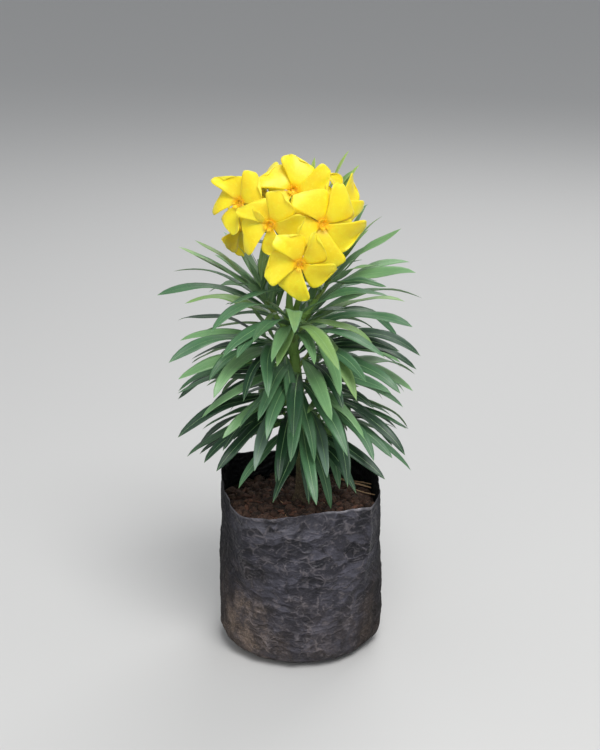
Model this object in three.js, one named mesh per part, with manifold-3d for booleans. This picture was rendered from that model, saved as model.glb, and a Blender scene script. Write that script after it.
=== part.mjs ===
// A young potted oleander with yellow flowers, growing in a black nursery bag.
// Millimetres, +Z up. The origin is the middle of the bag's flat underside, and -Y is the front.
// The plant grows by one seeded rule: side shoots stand round the trunk in tiers, each shoot bears
// whorls of narrow leaves, and a leaf that would leave its shoot's space or touch something is skipped.
import * as THREE from "three";
import { mergeVertices } from "three/addons/utils/BufferGeometryUtils.js";
import Module from "manifold-3d";

const wasm = await Module();
wasm.setup();

// Driving dimensions
const GAP = 0.3;
const BAG = { mouth: 65, belly: 65, height: 133.5, footRound: 17, film: 0.9, sides: 30 };
const CORNERS = { turn: 52, reach: 4.2, from: 0.3 };
const SOIL = { level: 114, edge: 112, mound: 2, flatSpot: 14, lump: 1.1 };
const TRUNK = { foot: [2, 4], fork: [-8, 0, 270], bow: [3, 2], footRadius: 5.4, forkRadius: 3.7, flare: 3.4 };
const BOUGH = { footRadius: 2.6, tipRadius: 1.8 };
const SHOOT = { footRadius: 1.7, tipRadius: 1.1, stand: 64, length: 24, sides: 4 };
const LEAF = { widthShare: 0.132, thickness: 1.1, stalk: 1.3, fold: 0.12, stations: 6, tests: 13, tries: 20 };
const CLEAR = { other: 4.2, own: 2.6, limb: 2.6, flower: 6.2, overSoil: 7, overRim: 9 };
const SEED = 3257;

// Side shoots up the trunk, in tiers of three, each tier turned a sixth of a turn from the one below.
const TIERS = { count: 5, lowest: 165, step: 21, halfSector: 66, levels: 3 };
const TIER_LEAVES = [
  [-46, 0, 46],
  [-23, 23],
];
const TIER_NAMES = ["lowest", "low", "middle", "upper", "top"];
const FRONT = -90;

// How a leaf leaves its shoot, from the lowest level of all to the highest. Leaves on the front and back
// hang lower than on the flanks, and those on the flanks turn their faces to the sunny front.
const FAN = { rise: [-12, 46], bend: [40, 60], length: [77, 92], droop: 13, jitter: 9, facing: 15 };
const LOOSE = { perTry: 0.14, bend: 0.25, sweep: 16, roll: 26, length: 0.08 };

// The boughs near the fork, each with its foot's height on the trunk and the leaves of the shoot at its tip.
const BOUGHS = [
  {
    name: "left",
    line: { foot: 256, azimuth: 176, climb: 50, reach: 21 },
    leaves: { rises: [49, 32, 70], lengths: [89, 78, 66], turn: 2 },
  },
  {
    name: "right",
    line: { foot: 261, azimuth: -12, climb: 50, reach: 31 },
    leaves: { rises: [46, 28, 70], lengths: [84, 76, 62], turn: 10 },
  },
  {
    name: "back",
    line: { foot: 262, azimuth: 62, climb: 62, reach: 47 },
    leaves: { rises: [30, 58, 76], lengths: [80, 74, 69], turn: -18 },
  },
];
const FLOWER_STALK = { tip: [-6, -7, 308], footRadius: 3.4, tipRadius: 1.9 };

// Each blossom: the middle of its throat, the way it faces, its petals' reach and its first petal's turn.
const BLOSSOMS = [
  { at: [-45, -27, 364], azimuth: -122, tilt: 12, reach: 25, turn: 104 },
  { at: [-5, -15, 371], azimuth: -94, tilt: 24, reach: 29, turn: 74 },
  { at: [-22, -43, 351], azimuth: -106, tilt: 2, reach: 28, turn: -86 },
  { at: [17, -36, 350], azimuth: -72, tilt: 4, reach: 33, turn: -31 },
  { at: [0, -57, 325], azimuth: -90, tilt: -6, reach: 27, turn: -107 },
  { at: [30, -6, 362], azimuth: -42, tilt: 22, reach: 25, turn: 88 },
  { at: [-31, 8, 369], azimuth: 158, tilt: 44, reach: 25, turn: 60 },
  { at: [-46, 10, 338], azimuth: 164, tilt: 4, reach: 25, turn: 20 },
  { at: [-18, 34, 350], azimuth: 112, tilt: 16, reach: 26, turn: 84 },
];
const BLOSSOM = { throat: 3.4, tube: 15, tubeFoot: 1.3, stalkFoot: 1.3, stalkTip: 1 };
const PETALS = { count: 5, thickness: 0.9, fold: 0.05, pinwheel: 17, widthShare: 0.41, foot: 1.5 };
const BUDS = { count: 5, length: 16, radius: 2.1, spread: 11, height: 326 };

const radians = THREE.MathUtils.degToRad;
const lerp = THREE.MathUtils.lerp;
const vector = (p) => new THREE.Vector3(...p);

// Seeded random numbers from 0 to 1, the same on every run.
function randomFrom(seed) {
  let state = seed >>> 0;
  return () => {
    state = (state + 0x6d2b79f5) >>> 0;
    let t = state;
    t = Math.imul(t ^ (t >>> 15), t | 1);
    t ^= t + Math.imul(t ^ (t >>> 7), t | 61);
    return ((t ^ (t >>> 14)) >>> 0) / 4294967296;
  };
}

// The unit vector at an azimuth from +X and a climb above level, both in degrees.
function heading(azimuth, climb) {
  const level = Math.cos(radians(climb));
  return new THREE.Vector3(
    level * Math.cos(radians(azimuth)),
    level * Math.sin(radians(azimuth)),
    Math.sin(radians(climb)),
  );
}

// A closed three.js geometry as a solid with its faces pointing out.
function solidOf(geometry) {
  const bare = geometry.clone();
  bare.deleteAttribute("normal");
  bare.deleteAttribute("uv");
  const merged = mergeVertices(bare, 1e-4);
  const corners = [];
  for (let i = 0; i < merged.index.count; i += 3) {
    const [a, b, c] = [0, 1, 2].map((k) => merged.index.getX(i + k));
    if (a !== b && b !== c && c !== a) corners.push(a, b, c);
  }
  const made = (order) =>
    new wasm.Manifold(
      new wasm.Mesh({
        numProp: 3,
        vertProperties: merged.attributes.position.array,
        triVerts: new Uint32Array(order),
      }),
    );
  const solid = made(corners);
  return solid.volume() > 0 ? solid : made(corners.reverse());
}

function geometryOf(solid) {
  const mesh = solid.getMesh();
  return new THREE.BufferGeometry()
    .setAttribute("position", new THREE.BufferAttribute(mesh.vertProperties, 3))
    .setIndex(new THREE.BufferAttribute(mesh.triVerts, 1));
}

// A turned shape whose points are then moved one by one: every limb, leaf and petal and the bag come from it.
function shaped(profile, sides, move) {
  const points = profile.map(([radius, height]) => new THREE.Vector2(radius, height));
  const geometry = new THREE.LatheGeometry(points, sides);
  const place = geometry.attributes.position;
  const at = new THREE.Vector3();
  for (let i = 0; i < place.count; i++) {
    at.fromBufferAttribute(place, i);
    const moved = move(at);
    place.setXYZ(i, moved.x, moved.y, moved.z);
  }
  return solidOf(geometry);
}

// A tapering round limb along a curve. The radius follows the share of the length from 0 to 1.
function limb(curve, radiusAt, sides, rings) {
  const profile = [[0, 0]];
  for (let i = 0; i <= rings; i++) profile.push([radiusAt(i / rings), i / rings]);
  profile.push([0, 1]);
  const across = new THREE.Vector3(1, 0, 0);
  return shaped(profile, sides, (at) => {
    const along = curve.getTangentAt(at.y);
    const side = across.clone().addScaledVector(along, -across.dot(along)).normalize();
    const other = new THREE.Vector3().crossVectors(along, side);
    return curve.getPointAt(at.y).addScaledVector(side, at.x).addScaledVector(other, at.z);
  });
}

// A flat blade along a line of stations: three-sided, with two sharp edges and a keel below.
function blade(line, halfWidthAt, thickness, fold) {
  const last = line.length - 1;
  const profile = [[0, 0]];
  for (let i = 0; i < last; i++) profile.push([1, i]);
  profile.push([0, last]);
  const edge = Math.sin(Math.PI / 3);
  return shaped(profile, 3, (at) => {
    const { point, side, normal, share } = line[Math.round(at.y)];
    const half = halfWidthAt(share);
    const keel = at.z > 0.5 ? -0.65 * thickness * at.z : 0;
    const lift = Math.abs(at.x) > 0.1 ? 0.35 * thickness + fold * half : 0;
    return point
      .clone()
      .addScaledVector(side, (at.x / edge) * half)
      .addScaledVector(normal, keel + lift);
  });
}

// Bag and soil

// How far the filled bag's wall stands in or out at an angle and height. Its mouth is squarer than its belly.
function wallWave(angle, height) {
  const open = THREE.MathUtils.smoothstep(height, BAG.height * CORNERS.from, BAG.height);
  const folds = 0.8 * Math.sin(3 * angle + 0.6) + 0.5 * Math.sin(5 * angle + 2.1 + height / 40);
  const mouth = CORNERS.reach * open * Math.cos(4 * (angle - radians(CORNERS.turn)));
  return folds * Math.min(1, height / BAG.footRound) + mouth;
}

// How far the mouth's edge stands above or below the bag's mean height.
function rimWave(angle) {
  return 4.6 * Math.sin(angle) + 1.5 * Math.sin(2 * angle + 2.38) + 1.9 * Math.sin(3 * angle - 0.57) + 0.6;
}

const wallRadius = (height) => lerp(BAG.belly, BAG.mouth, (height / BAG.height) ** 2);

// The wall's outline at an inset into the film, from the edge of the flat foot up to the soil's edge.
function wallOutline(inset) {
  const round = BAG.footRound - inset;
  const foot = [0, 30, 60, 90].map((turn) => [
    BAG.belly - BAG.footRound + round * Math.sin(radians(turn)),
    BAG.footRound - round * Math.cos(radians(turn)),
  ]);
  const wall = [55, 85, SOIL.edge].map((height) => [wallRadius(height) - inset, height]);
  return [...foot, ...wall];
}

function waved(at, rim) {
  const angle = Math.atan2(at.x, at.z) - Math.PI / 2;
  const radius = Math.hypot(at.x, at.z);
  const lift = rim ? rimWave(angle) * THREE.MathUtils.smoothstep(at.y, SOIL.edge, BAG.height) : 0;
  const reach = radius < 1 ? radius : radius + wallWave(angle, Math.min(at.y, BAG.height));
  return new THREE.Vector3(reach * Math.cos(angle), reach * Math.sin(angle), at.y + lift);
}

function bagSolid() {
  const filled = (inset, top) => {
    const upper = top.map((height) => [BAG.mouth - inset, height]);
    const profile = [[0, inset], ...wallOutline(inset), ...upper, [0, top.at(-1)]];
    return shaped(profile, BAG.sides, (at) => waved(at, true));
  };
  return filled(0, [BAG.height]).subtract(filled(BAG.film, [BAG.height, BAG.height + 15]));
}

function soilLumps({ x, y }) {
  return Math.sin(x / 7) * Math.cos(y / 6) + 0.6 * Math.sin(x / 3.3 + y / 4.1);
}

// The soil follows the bag's inside. Its top is lumpy but for a flat spot under the trunk.
function soilSolid() {
  const inset = BAG.film + GAP;
  const crown = [50, 37, 25, SOIL.flatSpot].map((radius) => [radius, SOIL.level]);
  return shaped([[0, inset], ...wallOutline(inset), ...crown, [0, SOIL.level]], BAG.sides, (at) => {
    const moved = waved(at, false);
    if (at.y < SOIL.level) return moved;
    const outward = THREE.MathUtils.smoothstep(Math.hypot(moved.x, moved.y), SOIL.flatSpot + 1, 55);
    moved.z = SOIL.level + SOIL.mound * (1 - outward) + SOIL.lump * soilLumps(moved) * outward;
    return moved;
  });
}

// Trunk and boughs
const trunkFoot = new THREE.Vector3(TRUNK.foot[0], TRUNK.foot[1], SOIL.level + SOIL.mound + GAP);
const fork = vector(TRUNK.fork);
const trunkCurve = new THREE.CatmullRomCurve3([
  trunkFoot,
  trunkFoot.clone().lerp(fork, 0.35).add(new THREE.Vector3(TRUNK.bow[0], TRUNK.bow[1], 0)),
  trunkFoot.clone().lerp(fork, 0.7).add(new THREE.Vector3(TRUNK.bow[0] * 0.7, 0, 0)),
  fork,
]);
const trunkRadius = (share) =>
  lerp(TRUNK.footRadius, TRUNK.forkRadius, share) + TRUNK.flare * Math.exp(-share * 28);

// Where the trunk's middle is at a height, and how far along the trunk that lies.
function trunkAt(height) {
  let [low, high] = [0, 1];
  for (let i = 0; i < 24; i++) {
    const middle = (low + high) / 2;
    if (trunkCurve.getPointAt(middle).z < height) low = middle;
    else high = middle;
  }
  return { share: low, point: trunkCurve.getPointAt(low) };
}

// The trunk's foot is cut flat, so that it stands level on the soil.
const trunk = limb(trunkCurve, trunkRadius, 10, 13).trimByPlane([0, 0, 1], trunkFoot.z);
const trunkGrown = limb(trunkCurve, (share) => trunkRadius(share) + GAP, 10, 13);
const trunkRoom = trunkGrown.add(trunkGrown.translate([0, 0, GAP]));

const stalkCurve = new THREE.CatmullRomCurve3([
  fork.clone().addScaledVector(heading(0, 90), GAP),
  fork.clone().lerp(vector(FLOWER_STALK.tip), 0.5).add(new THREE.Vector3(-1, 0.5, 0)),
  vector(FLOWER_STALK.tip),
]);
const stalkRadius = (share) =>
  lerp(FLOWER_STALK.footRadius, FLOWER_STALK.tipRadius, Math.min(1, share * 1.6));

// A bough leaves the trunk's side and turns up a little towards its tip.
function boughCurve({ foot, azimuth, climb, reach }) {
  const start = trunkAt(foot).point;
  const tip = start.clone().addScaledVector(heading(azimuth, climb), reach);
  const middle = start.clone().lerp(tip, 0.5).addScaledVector(heading(azimuth, 0), reach * 0.07);
  return new THREE.CatmullRomCurve3([start, middle, tip]);
}

// Growth

// Points that something already holds, each with its holder and the distance that a leaf keeps from it.
const held = [];

// A leaf's stations: it leaves at `rise`, bends down by `bend`, sweeps sideways and is rolled a little.
function leafLine({ base, azimuth, rise, bend, sweep, roll, length }, stations) {
  const line = [];
  const last = stations - 1;
  const point = base.clone();
  for (let i = 0; i <= last; i++) {
    const share = i / last;
    const along = heading(azimuth + sweep * share, rise - bend * share ** 1.3);
    const side = new THREE.Vector3(-along.y, along.x, 0).normalize();
    side.applyAxisAngle(along, radians(roll * share));
    const normal = new THREE.Vector3().crossVectors(along, side);
    line.push({ point: point.clone(), side, normal, share });
    const ahead = share + 0.5 / last;
    point.addScaledVector(heading(azimuth + sweep * ahead, rise - bend * ahead ** 1.3), length / last);
  }
  return line;
}

// Half of a leaf's width along its length: a narrow stalk, widest past the middle, and a pointed tip.
function leafHalfWidth(length) {
  const widest = (length * LEAF.widthShare) / 2;
  return (share) => {
    if (share >= 1) return 0;
    const body = widest * Math.sin(Math.PI * share ** 1.1) ** 0.65;
    return Math.max(LEAF.stalk * (1 - share), body);
  };
}

// The places on a leaf that are tested against what is there already.
function leafTests(posture) {
  const halfWidthAt = leafHalfWidth(posture.length);
  const tests = [];
  for (const { point, side, share } of leafLine(posture, LEAF.tests)) {
    const half = halfWidthAt(share) * 0.9;
    const root = share < 0.2;
    for (const across of [-half, 0, half]) {
      tests.push({ at: point.clone().addScaledVector(side, across), root });
    }
  }
  return tests;
}

// Whether a leaf keeps to its own space and clear of the bag, the limbs, the blossoms and other leaves.
// Its root only keeps clear of what isn't its own shoot or the trunk beside it.
function fits(tests, owner, inSpace) {
  return tests.every(({ at, root }) => {
    if (at.z < SOIL.level + CLEAR.overSoil) return false;
    const nearRim = Math.hypot(at.x, at.y) > BAG.mouth - CLEAR.overRim;
    if (nearRim && at.z < BAG.height + CLEAR.overRim) return false;
    if (!root && !inSpace(at)) return false;
    return held.every((taken) => {
      const own = taken.owner === owner;
      if (root && (own || taken.owner === "trunk")) return true;
      const clear = own ? CLEAR.own : taken.clear;
      return taken.point.distanceToSquared(at) > clear * clear;
    });
  });
}

// One leaf's posture, after trying a few, or nothing where none fits.
function growLeaf(wanted, owner, inSpace, random) {
  const spread = () => (random() - 0.5) * 2;
  const fromFront = radians(wanted.azimuth - FRONT);
  for (let attempt = 0; attempt < LEAF.tries; attempt++) {
    const loose = 1 + attempt * LOOSE.perTry;
    const posture = {
      base: wanted.base,
      azimuth: wanted.azimuth + spread() * FAN.jitter * loose,
      rise: wanted.rise + spread() * FAN.jitter * loose,
      bend: wanted.bend * (1 + spread() * LOOSE.bend),
      sweep: spread() * LOOSE.sweep,
      roll: FAN.facing * (Math.sin(fromFront) + 0.8 * Math.sin(2 * fromFront)) + spread() * LOOSE.roll,
      length: wanted.length * (1 + spread() * LOOSE.length),
    };
    const tests = leafTests(posture);
    if (!fits(tests, owner, inSpace)) continue;
    for (const { at } of tests) held.push({ point: at, clear: CLEAR.other, owner });
    return posture;
  }
  return null;
}

// A shoot on the trunk's side: it leans out and bears levels of leaves.
function sideShoot(tier, azimuth) {
  const { point: axis, share } = trunkAt(TIERS.lowest + tier * TIERS.step);
  const outward = heading(azimuth, 0);
  const foot = axis.clone().addScaledVector(outward, trunkRadius(share) * 0.4);
  const tip = axis
    .clone()
    .addScaledVector(outward, trunkRadius(share) + GAP + 1.2)
    .addScaledVector(heading(azimuth, SHOOT.stand), SHOOT.length);
  const wanted = [];
  for (let level = tier === 0 ? 1 : 0; level < TIERS.levels; level++) {
    const grade = (tier * TIERS.levels + level) / (TIERS.count * TIERS.levels - 1);
    for (const offset of TIER_LEAVES[level % 2]) {
      const leafAzimuth = azimuth + offset;
      const offFlank = Math.abs(Math.cos(radians(leafAzimuth - FRONT)));
      wanted.push({
        base: foot.clone().lerp(tip, 0.36 + (0.6 * level) / (TIERS.levels - 1)),
        azimuth: leafAzimuth,
        rise: lerp(...FAN.rise, grade) - FAN.droop * offFlank,
        bend: lerp(...FAN.bend, grade),
        length: lerp(...FAN.length, Math.sqrt(grade)),
      });
    }
  }
  const inSpace = (at) => {
    const off = Math.atan2(at.y - axis.y, at.x - axis.x) - radians(azimuth);
    return Math.cos(off) > Math.cos(radians(TIERS.halfSector));
  };
  return { foot, tip, wanted, inSpace };
}

// The shoot at a bough's tip, with whorls of three leaves that stand steeper towards its end.
function crownShoot({ line, leaves }) {
  const curve = boughCurve(line);
  const along = curve.getTangentAt(1);
  const foot = curve.getPointAt(1).addScaledVector(along, GAP);
  const tip = foot.clone().addScaledVector(along, SHOOT.length * 0.8);
  const wanted = [];
  leaves.rises.forEach((rise, level) => {
    for (let k = 0; k < 3; k++) {
      wanted.push({
        base: foot.clone().lerp(tip, 0.24 + 0.36 * level),
        azimuth: line.azimuth + leaves.turn + 120 * k + 60 * level,
        rise: rise + 6,
        bend: 22,
        length: leaves.lengths[level],
      });
    }
  });
  return { foot, tip, wanted, inSpace: (at) => at.z > fork.z - 12 };
}

// A mass: the shoot's own stem with the leaves that found room on it.
function massSolid(shoot, owner, random) {
  const stem = new THREE.LineCurve3(shoot.foot, shoot.tip);
  const solids = [limb(stem, (share) => lerp(SHOOT.footRadius, SHOOT.tipRadius, share), SHOOT.sides, 1)];
  for (const wanted of shoot.wanted) {
    const posture = growLeaf(wanted, owner, shoot.inSpace, random);
    if (!posture) continue;
    const line = leafLine(posture, LEAF.stations);
    solids.push(blade(line, leafHalfWidth(posture.length), LEAF.thickness, LEAF.fold));
  }
  return wasm.Manifold.union(solids).subtract(trunkRoom);
}

// Blossoms

// A blossom's own directions: out of its throat, and two across it.
function blossomFrame({ azimuth, tilt }) {
  const out = heading(azimuth, tilt);
  const right = new THREE.Vector3(-out.y, out.x, 0).normalize();
  const up = new THREE.Vector3().crossVectors(out, right);
  return { out, right, up };
}

// The stations of one petal. It spreads from the throat, bows back and swings round like a pinwheel's.
function petalLine(blossom, k) {
  const { out, right, up } = blossomFrame(blossom);
  return [0, 0.3, 0.62, 0.86, 1].map((share) => {
    const turn = radians(blossom.turn + (360 / PETALS.count) * k + PETALS.pinwheel * share ** 2.5);
    const away = right.clone().multiplyScalar(Math.cos(turn)).addScaledVector(up, Math.sin(turn));
    const side = new THREE.Vector3().crossVectors(out, away).addScaledVector(out, 0.2).normalize();
    const normal = new THREE.Vector3().crossVectors(away, side);
    const point = vector(blossom.at)
      .addScaledVector(away, lerp(BLOSSOM.throat * 0.4, blossom.reach, share))
      .addScaledVector(out, 3 * Math.sin(Math.PI * 0.8 * share) - 2.4 * share);
    return { point, side, normal, share };
  });
}

function petalHalfWidth(reach) {
  const spread = reach * PETALS.widthShare - PETALS.foot;
  return (share) => (share >= 1 ? 0 : PETALS.foot + spread * Math.sin(Math.PI * 0.66 * share) ** 1.6);
}

// A thin stalk that bends into the direction of the blossom or bud that it bears.
function flowerStalk(from, to, out) {
  const bend = to.clone().addScaledVector(out, -from.distanceTo(to) * 0.4);
  const curve = new THREE.QuadraticBezierCurve3(from, bend, to);
  return limb(curve, (share) => lerp(BLOSSOM.stalkFoot, BLOSSOM.stalkTip, share), 4, 3);
}

function blossomSolids(blossom, from) {
  const { out } = blossomFrame(blossom);
  const throat = vector(blossom.at);
  const foot = throat.clone().addScaledVector(out, -BLOSSOM.tube);
  const tube = new THREE.LineCurve3(foot, throat.clone().addScaledVector(out, 1));
  const solids = [limb(tube, (share) => lerp(BLOSSOM.tubeFoot, BLOSSOM.throat, share ** 1.4), 6, 2)];
  const halfWidthAt = petalHalfWidth(blossom.reach);
  for (let k = 0; k < PETALS.count; k++) {
    solids.push(blade(petalLine(blossom, k), halfWidthAt, PETALS.thickness, PETALS.fold));
  }
  solids.push(flowerStalk(from, foot.clone().addScaledVector(out, 0.8), out));
  return solids;
}

function budSolids(k, from) {
  const azimuth = 40 + (360 / BUDS.count) * k;
  const out = heading(azimuth, 64 + 9 * (k % 2));
  const foot = from.clone().setZ(BUDS.height).addScaledVector(heading(azimuth, 0), BUDS.spread);
  const tip = foot.clone().addScaledVector(out, BUDS.length);
  const swell = (share) => Math.max(0.35, BUDS.radius * Math.sin(Math.PI * (0.12 + 0.86 * share)));
  const bud = limb(new THREE.LineCurve3(foot, tip), swell, 5, 3);
  return [bud, flowerStalk(from, foot.clone().lerp(tip, 0.1), out)];
}

function flowerHead() {
  const along = stalkCurve.getTangentAt(1);
  const seat = vector(FLOWER_STALK.tip).addScaledVector(along, GAP);
  const top = seat.clone().addScaledVector(along, 10);
  const neck = new THREE.LineCurve3(seat, top);
  const solids = [limb(neck, (share) => lerp(FLOWER_STALK.tipRadius, 1.4, share), 8, 1)];
  const from = seat.clone().lerp(top, 0.7);
  for (const blossom of BLOSSOMS) solids.push(...blossomSolids(blossom, from));
  for (let k = 0; k < BUDS.count; k++) solids.push(...budSolids(k, from));
  return wasm.Manifold.union(solids);
}

// Takes the places of the limbs and blossoms, so that leaves grow clear of them.
function holdLimbsAndBlossoms() {
  const hold = (point, clear, owner = "limbs") => held.push({ point, clear, owner });
  for (let i = 0; i <= 50; i++) {
    hold(trunkCurve.getPointAt(i / 50), trunkRadius(i / 50) + CLEAR.limb, "trunk");
  }
  for (let i = 0; i <= 12; i++) hold(stalkCurve.getPointAt(i / 12), stalkRadius(i / 12) + CLEAR.limb);
  for (const { line } of BOUGHS) {
    const curve = boughCurve(line);
    for (let i = 0; i <= 9; i++) hold(curve.getPointAt(i / 12), BOUGH.footRadius + CLEAR.limb * 0.8);
  }
  for (const blossom of BLOSSOMS) {
    const { out } = blossomFrame(blossom);
    const throat = vector(blossom.at);
    for (let i = 0; i <= 3; i++) hold(throat.clone().addScaledVector(out, -5 * i), CLEAR.flower);
    for (let k = 0; k < PETALS.count; k++) {
      for (const { point, side } of petalLine(blossom, k).slice(1)) {
        for (const across of [-7, 0, 7]) hold(point.clone().addScaledVector(side, across), CLEAR.flower);
      }
    }
    const foot = throat.clone().addScaledVector(out, -BLOSSOM.tube);
    for (let i = 0; i < 6; i++) hold(vector(FLOWER_STALK.tip).lerp(foot, i / 6), CLEAR.flower * 0.8);
  }
}

// Finishes, and the nodes by name
const FINISH = {
  film: new THREE.MeshStandardMaterial({ color: 0x2b2b30, roughness: 0.5, metalness: 0 }),
  earth: new THREE.MeshStandardMaterial({ color: 0x3b2a22, roughness: 0.95, metalness: 0 }),
  bark: new THREE.MeshStandardMaterial({ color: 0x5c6238, roughness: 0.8, metalness: 0 }),
  leaf: new THREE.MeshStandardMaterial({ color: 0x3d7a4a, roughness: 0.5, metalness: 0 }),
  petal: new THREE.MeshStandardMaterial({ color: 0xf4df1c, roughness: 0.6, metalness: 0 }),
};

const plant = new THREE.Group();

function add(name, solid, finish) {
  const mesh = new THREE.Mesh(geometryOf(solid), FINISH[finish]);
  mesh.name = name;
  plant.add(mesh);
}

const SIDES = new Map([
  [-90, "front"],
  [30, "back_right"],
  [150, "back_left"],
  [-30, "front_right"],
  [90, "back"],
  [210, "front_left"],
]);

holdLimbsAndBlossoms();
const random = randomFrom(SEED);
add("nursery_bag", bagSolid(), "film");
add("soil", soilSolid(), "earth");
add("trunk", trunk, "bark");
add("flower_stalk", limb(stalkCurve, stalkRadius, 8, 5).subtract(trunkRoom), "bark");
add("flower_head", flowerHead(), "petal");
let taken = trunkRoom.add(limb(stalkCurve, (share) => stalkRadius(share) + GAP, 8, 5));
const boughRadius = (share) => lerp(BOUGH.footRadius, BOUGH.tipRadius, share);
for (const { name, line } of BOUGHS) {
  const grown = (by) => limb(boughCurve(line), (share) => boughRadius(share) + by, 8, 5);
  add(`bough_${name}`, grown(0).subtract(taken), "bark");
  taken = taken.add(grown(GAP));
}
const shoots = new Map(BOUGHS.map((bough) => [`leaves_of_${bough.name}_bough`, crownShoot(bough)]));
for (let tier = TIERS.count - 1; tier >= 0; tier--) {
  for (let k = 0; k < 3; k++) {
    const azimuth = FRONT + (tier % 2) * 60 + 120 * k;
    shoots.set(`leaves_${TIER_NAMES[tier]}_${SIDES.get(azimuth)}`, sideShoot(tier, azimuth));
  }
}
for (const [name, { foot, tip }] of shoots) {
  for (let i = 0; i <= 6; i++) held.push({ point: foot.clone().lerp(tip, i / 6), clear: 4, owner: name });
}
for (const [name, shoot] of shoots) add(name, massSolid(shoot, name, random), "leaf");

export default plant;
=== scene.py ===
"""A young potted oleander with yellow flowers in a black nursery bag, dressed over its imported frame."""

import logging
import math
from collections import defaultdict
from dataclasses import dataclass, field, replace
from enum import Enum
from functools import cache
from typing import Callable, Iterable, Sequence

import bpy
import numpy as np
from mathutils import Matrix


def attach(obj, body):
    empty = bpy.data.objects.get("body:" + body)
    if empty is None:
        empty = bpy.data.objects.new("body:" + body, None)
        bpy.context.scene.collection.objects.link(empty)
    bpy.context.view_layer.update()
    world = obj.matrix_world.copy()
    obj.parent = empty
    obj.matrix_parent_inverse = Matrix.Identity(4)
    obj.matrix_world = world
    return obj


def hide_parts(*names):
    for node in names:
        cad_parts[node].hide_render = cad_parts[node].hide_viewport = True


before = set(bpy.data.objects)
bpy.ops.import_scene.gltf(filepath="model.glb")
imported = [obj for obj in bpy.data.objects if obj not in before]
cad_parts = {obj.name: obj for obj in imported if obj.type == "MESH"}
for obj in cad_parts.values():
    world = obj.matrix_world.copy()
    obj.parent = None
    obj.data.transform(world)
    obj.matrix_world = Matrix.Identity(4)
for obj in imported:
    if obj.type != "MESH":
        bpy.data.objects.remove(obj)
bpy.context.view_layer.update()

LOG = logging.getLogger("oleander")
MM = 0.001
FRONT = -90.0
FULL_TURN = 6.28

Array = np.ndarray
Node = bpy.types.Node
NodeTree = bpy.types.NodeTree
Socket = bpy.types.NodeSocket
Sockets = bpy.types.bpy_prop_collection
Triple = tuple[float, float, float]


# Numbers, directions and lines


def lerp(a: Array | float, b: Array | float, share: Array | float) -> Array | float:
    """The value at a share of the way from a to b."""
    return a + (b - a) * share


def smoothstep(value: Array | float, low: float, high: float) -> Array:
    """A soft step from 0 below low to 1 above high."""
    share = np.clip((np.asarray(value, float) - low) / (high - low), 0, 1)
    return share * share * (3 - 2 * share)


def heading(azimuth: Array | float, climb: Array | float) -> Array:
    """The unit vectors at azimuths from +X and climbs above level.

    Args:
        azimuth: One or more azimuths in degrees.
        climb: One or more climbs in degrees.

    Returns:
        One vector, or a row for each.
    """
    turn, up = np.radians(azimuth), np.radians(climb)
    return np.stack([np.cos(up) * np.cos(turn), np.cos(up) * np.sin(turn), np.sin(up) + 0 * turn], axis=-1)


def unit(vectors: Array) -> Array:
    """The vectors at length one."""
    length = np.linalg.norm(vectors, axis=-1, keepdims=True)
    return vectors / np.maximum(length, 1e-12)


class Chance:
    """The source's seeded random numbers from 0 to 1, the same on every run."""

    def __init__(self, seed: int) -> None:
        """Starts the numbers from a seed."""
        self.state = seed & 0xFFFFFFFF

    def one(self) -> float:
        """The next number from 0 to 1."""
        keep = 0xFFFFFFFF
        self.state = (self.state + 0x6D2B79F5) & keep
        t = self.state
        t = ((t ^ (t >> 15)) * (t | 1)) & keep
        t ^= (t + (((t ^ (t >> 7)) * (t | 61)) & keep)) & keep
        return ((t ^ (t >> 14)) & keep) / 4294967296

    def spread(self) -> float:
        """The next number from -1 to 1."""
        return (self.one() - 0.5) * 2


class LimbLine:
    """A smooth line through a few points, walked by the share of its length."""

    def __init__(self, points: Sequence[Sequence[float]]) -> None:
        """Measures the line through the points in millimetres."""
        self.points = np.array(points, float)
        self.marks = np.linspace(0, 1, 201)
        walked = np.array([self._raw(mark) for mark in self.marks])
        steps = np.linalg.norm(np.diff(walked, axis=0), axis=1)
        self.lengths = np.concatenate([[0], np.cumsum(steps)])

    def _raw(self, mark: float) -> Array:
        """The point at a mark that isn't yet spread evenly over the length.

        Args:
            mark: From 0 at the first point to 1 at the last.

        Returns:
            The point.
        """
        last = len(self.points) - 1
        place = mark * last
        i = min(int(place), last - 1)
        weight = place - i
        p1, p2 = self.points[i], self.points[i + 1]
        p0 = self.points[i - 1] if i > 0 else 2 * p1 - p2
        p3 = self.points[i + 2] if i + 2 <= last else 2 * p2 - p1
        gaps = [max(float(np.sum((b - a) ** 2)) ** 0.25, 1e-4) for a, b in ((p0, p1), (p1, p2), (p2, p3))]
        t1 = ((p1 - p0) / gaps[0] - (p2 - p0) / (gaps[0] + gaps[1]) + (p2 - p1) / gaps[1]) * gaps[1]
        t2 = ((p2 - p1) / gaps[1] - (p3 - p1) / (gaps[1] + gaps[2]) + (p3 - p2) / gaps[2]) * gaps[1]
        c2 = -3 * p1 + 3 * p2 - 2 * t1 - t2
        c3 = 2 * p1 - 2 * p2 + t1 + t2
        return p1 + t1 * weight + c2 * weight**2 + c3 * weight**3

    def _mark(self, share: float) -> float:
        """The mark at a share of the length."""
        return float(np.interp(share * self.lengths[-1], self.lengths, self.marks))

    def at(self, share: float) -> Array:
        """The point at a share of the length."""
        return self._raw(self._mark(share))

    def along(self, share: float) -> Array:
        """The direction at a share of the length."""
        mark = self._mark(share)
        ahead, behind = self._raw(min(1, mark + 1e-4)), self._raw(max(0, mark - 1e-4))
        return unit(ahead - behind)


# The plant's sizes in millimetres and degrees, as the solids have them


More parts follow.
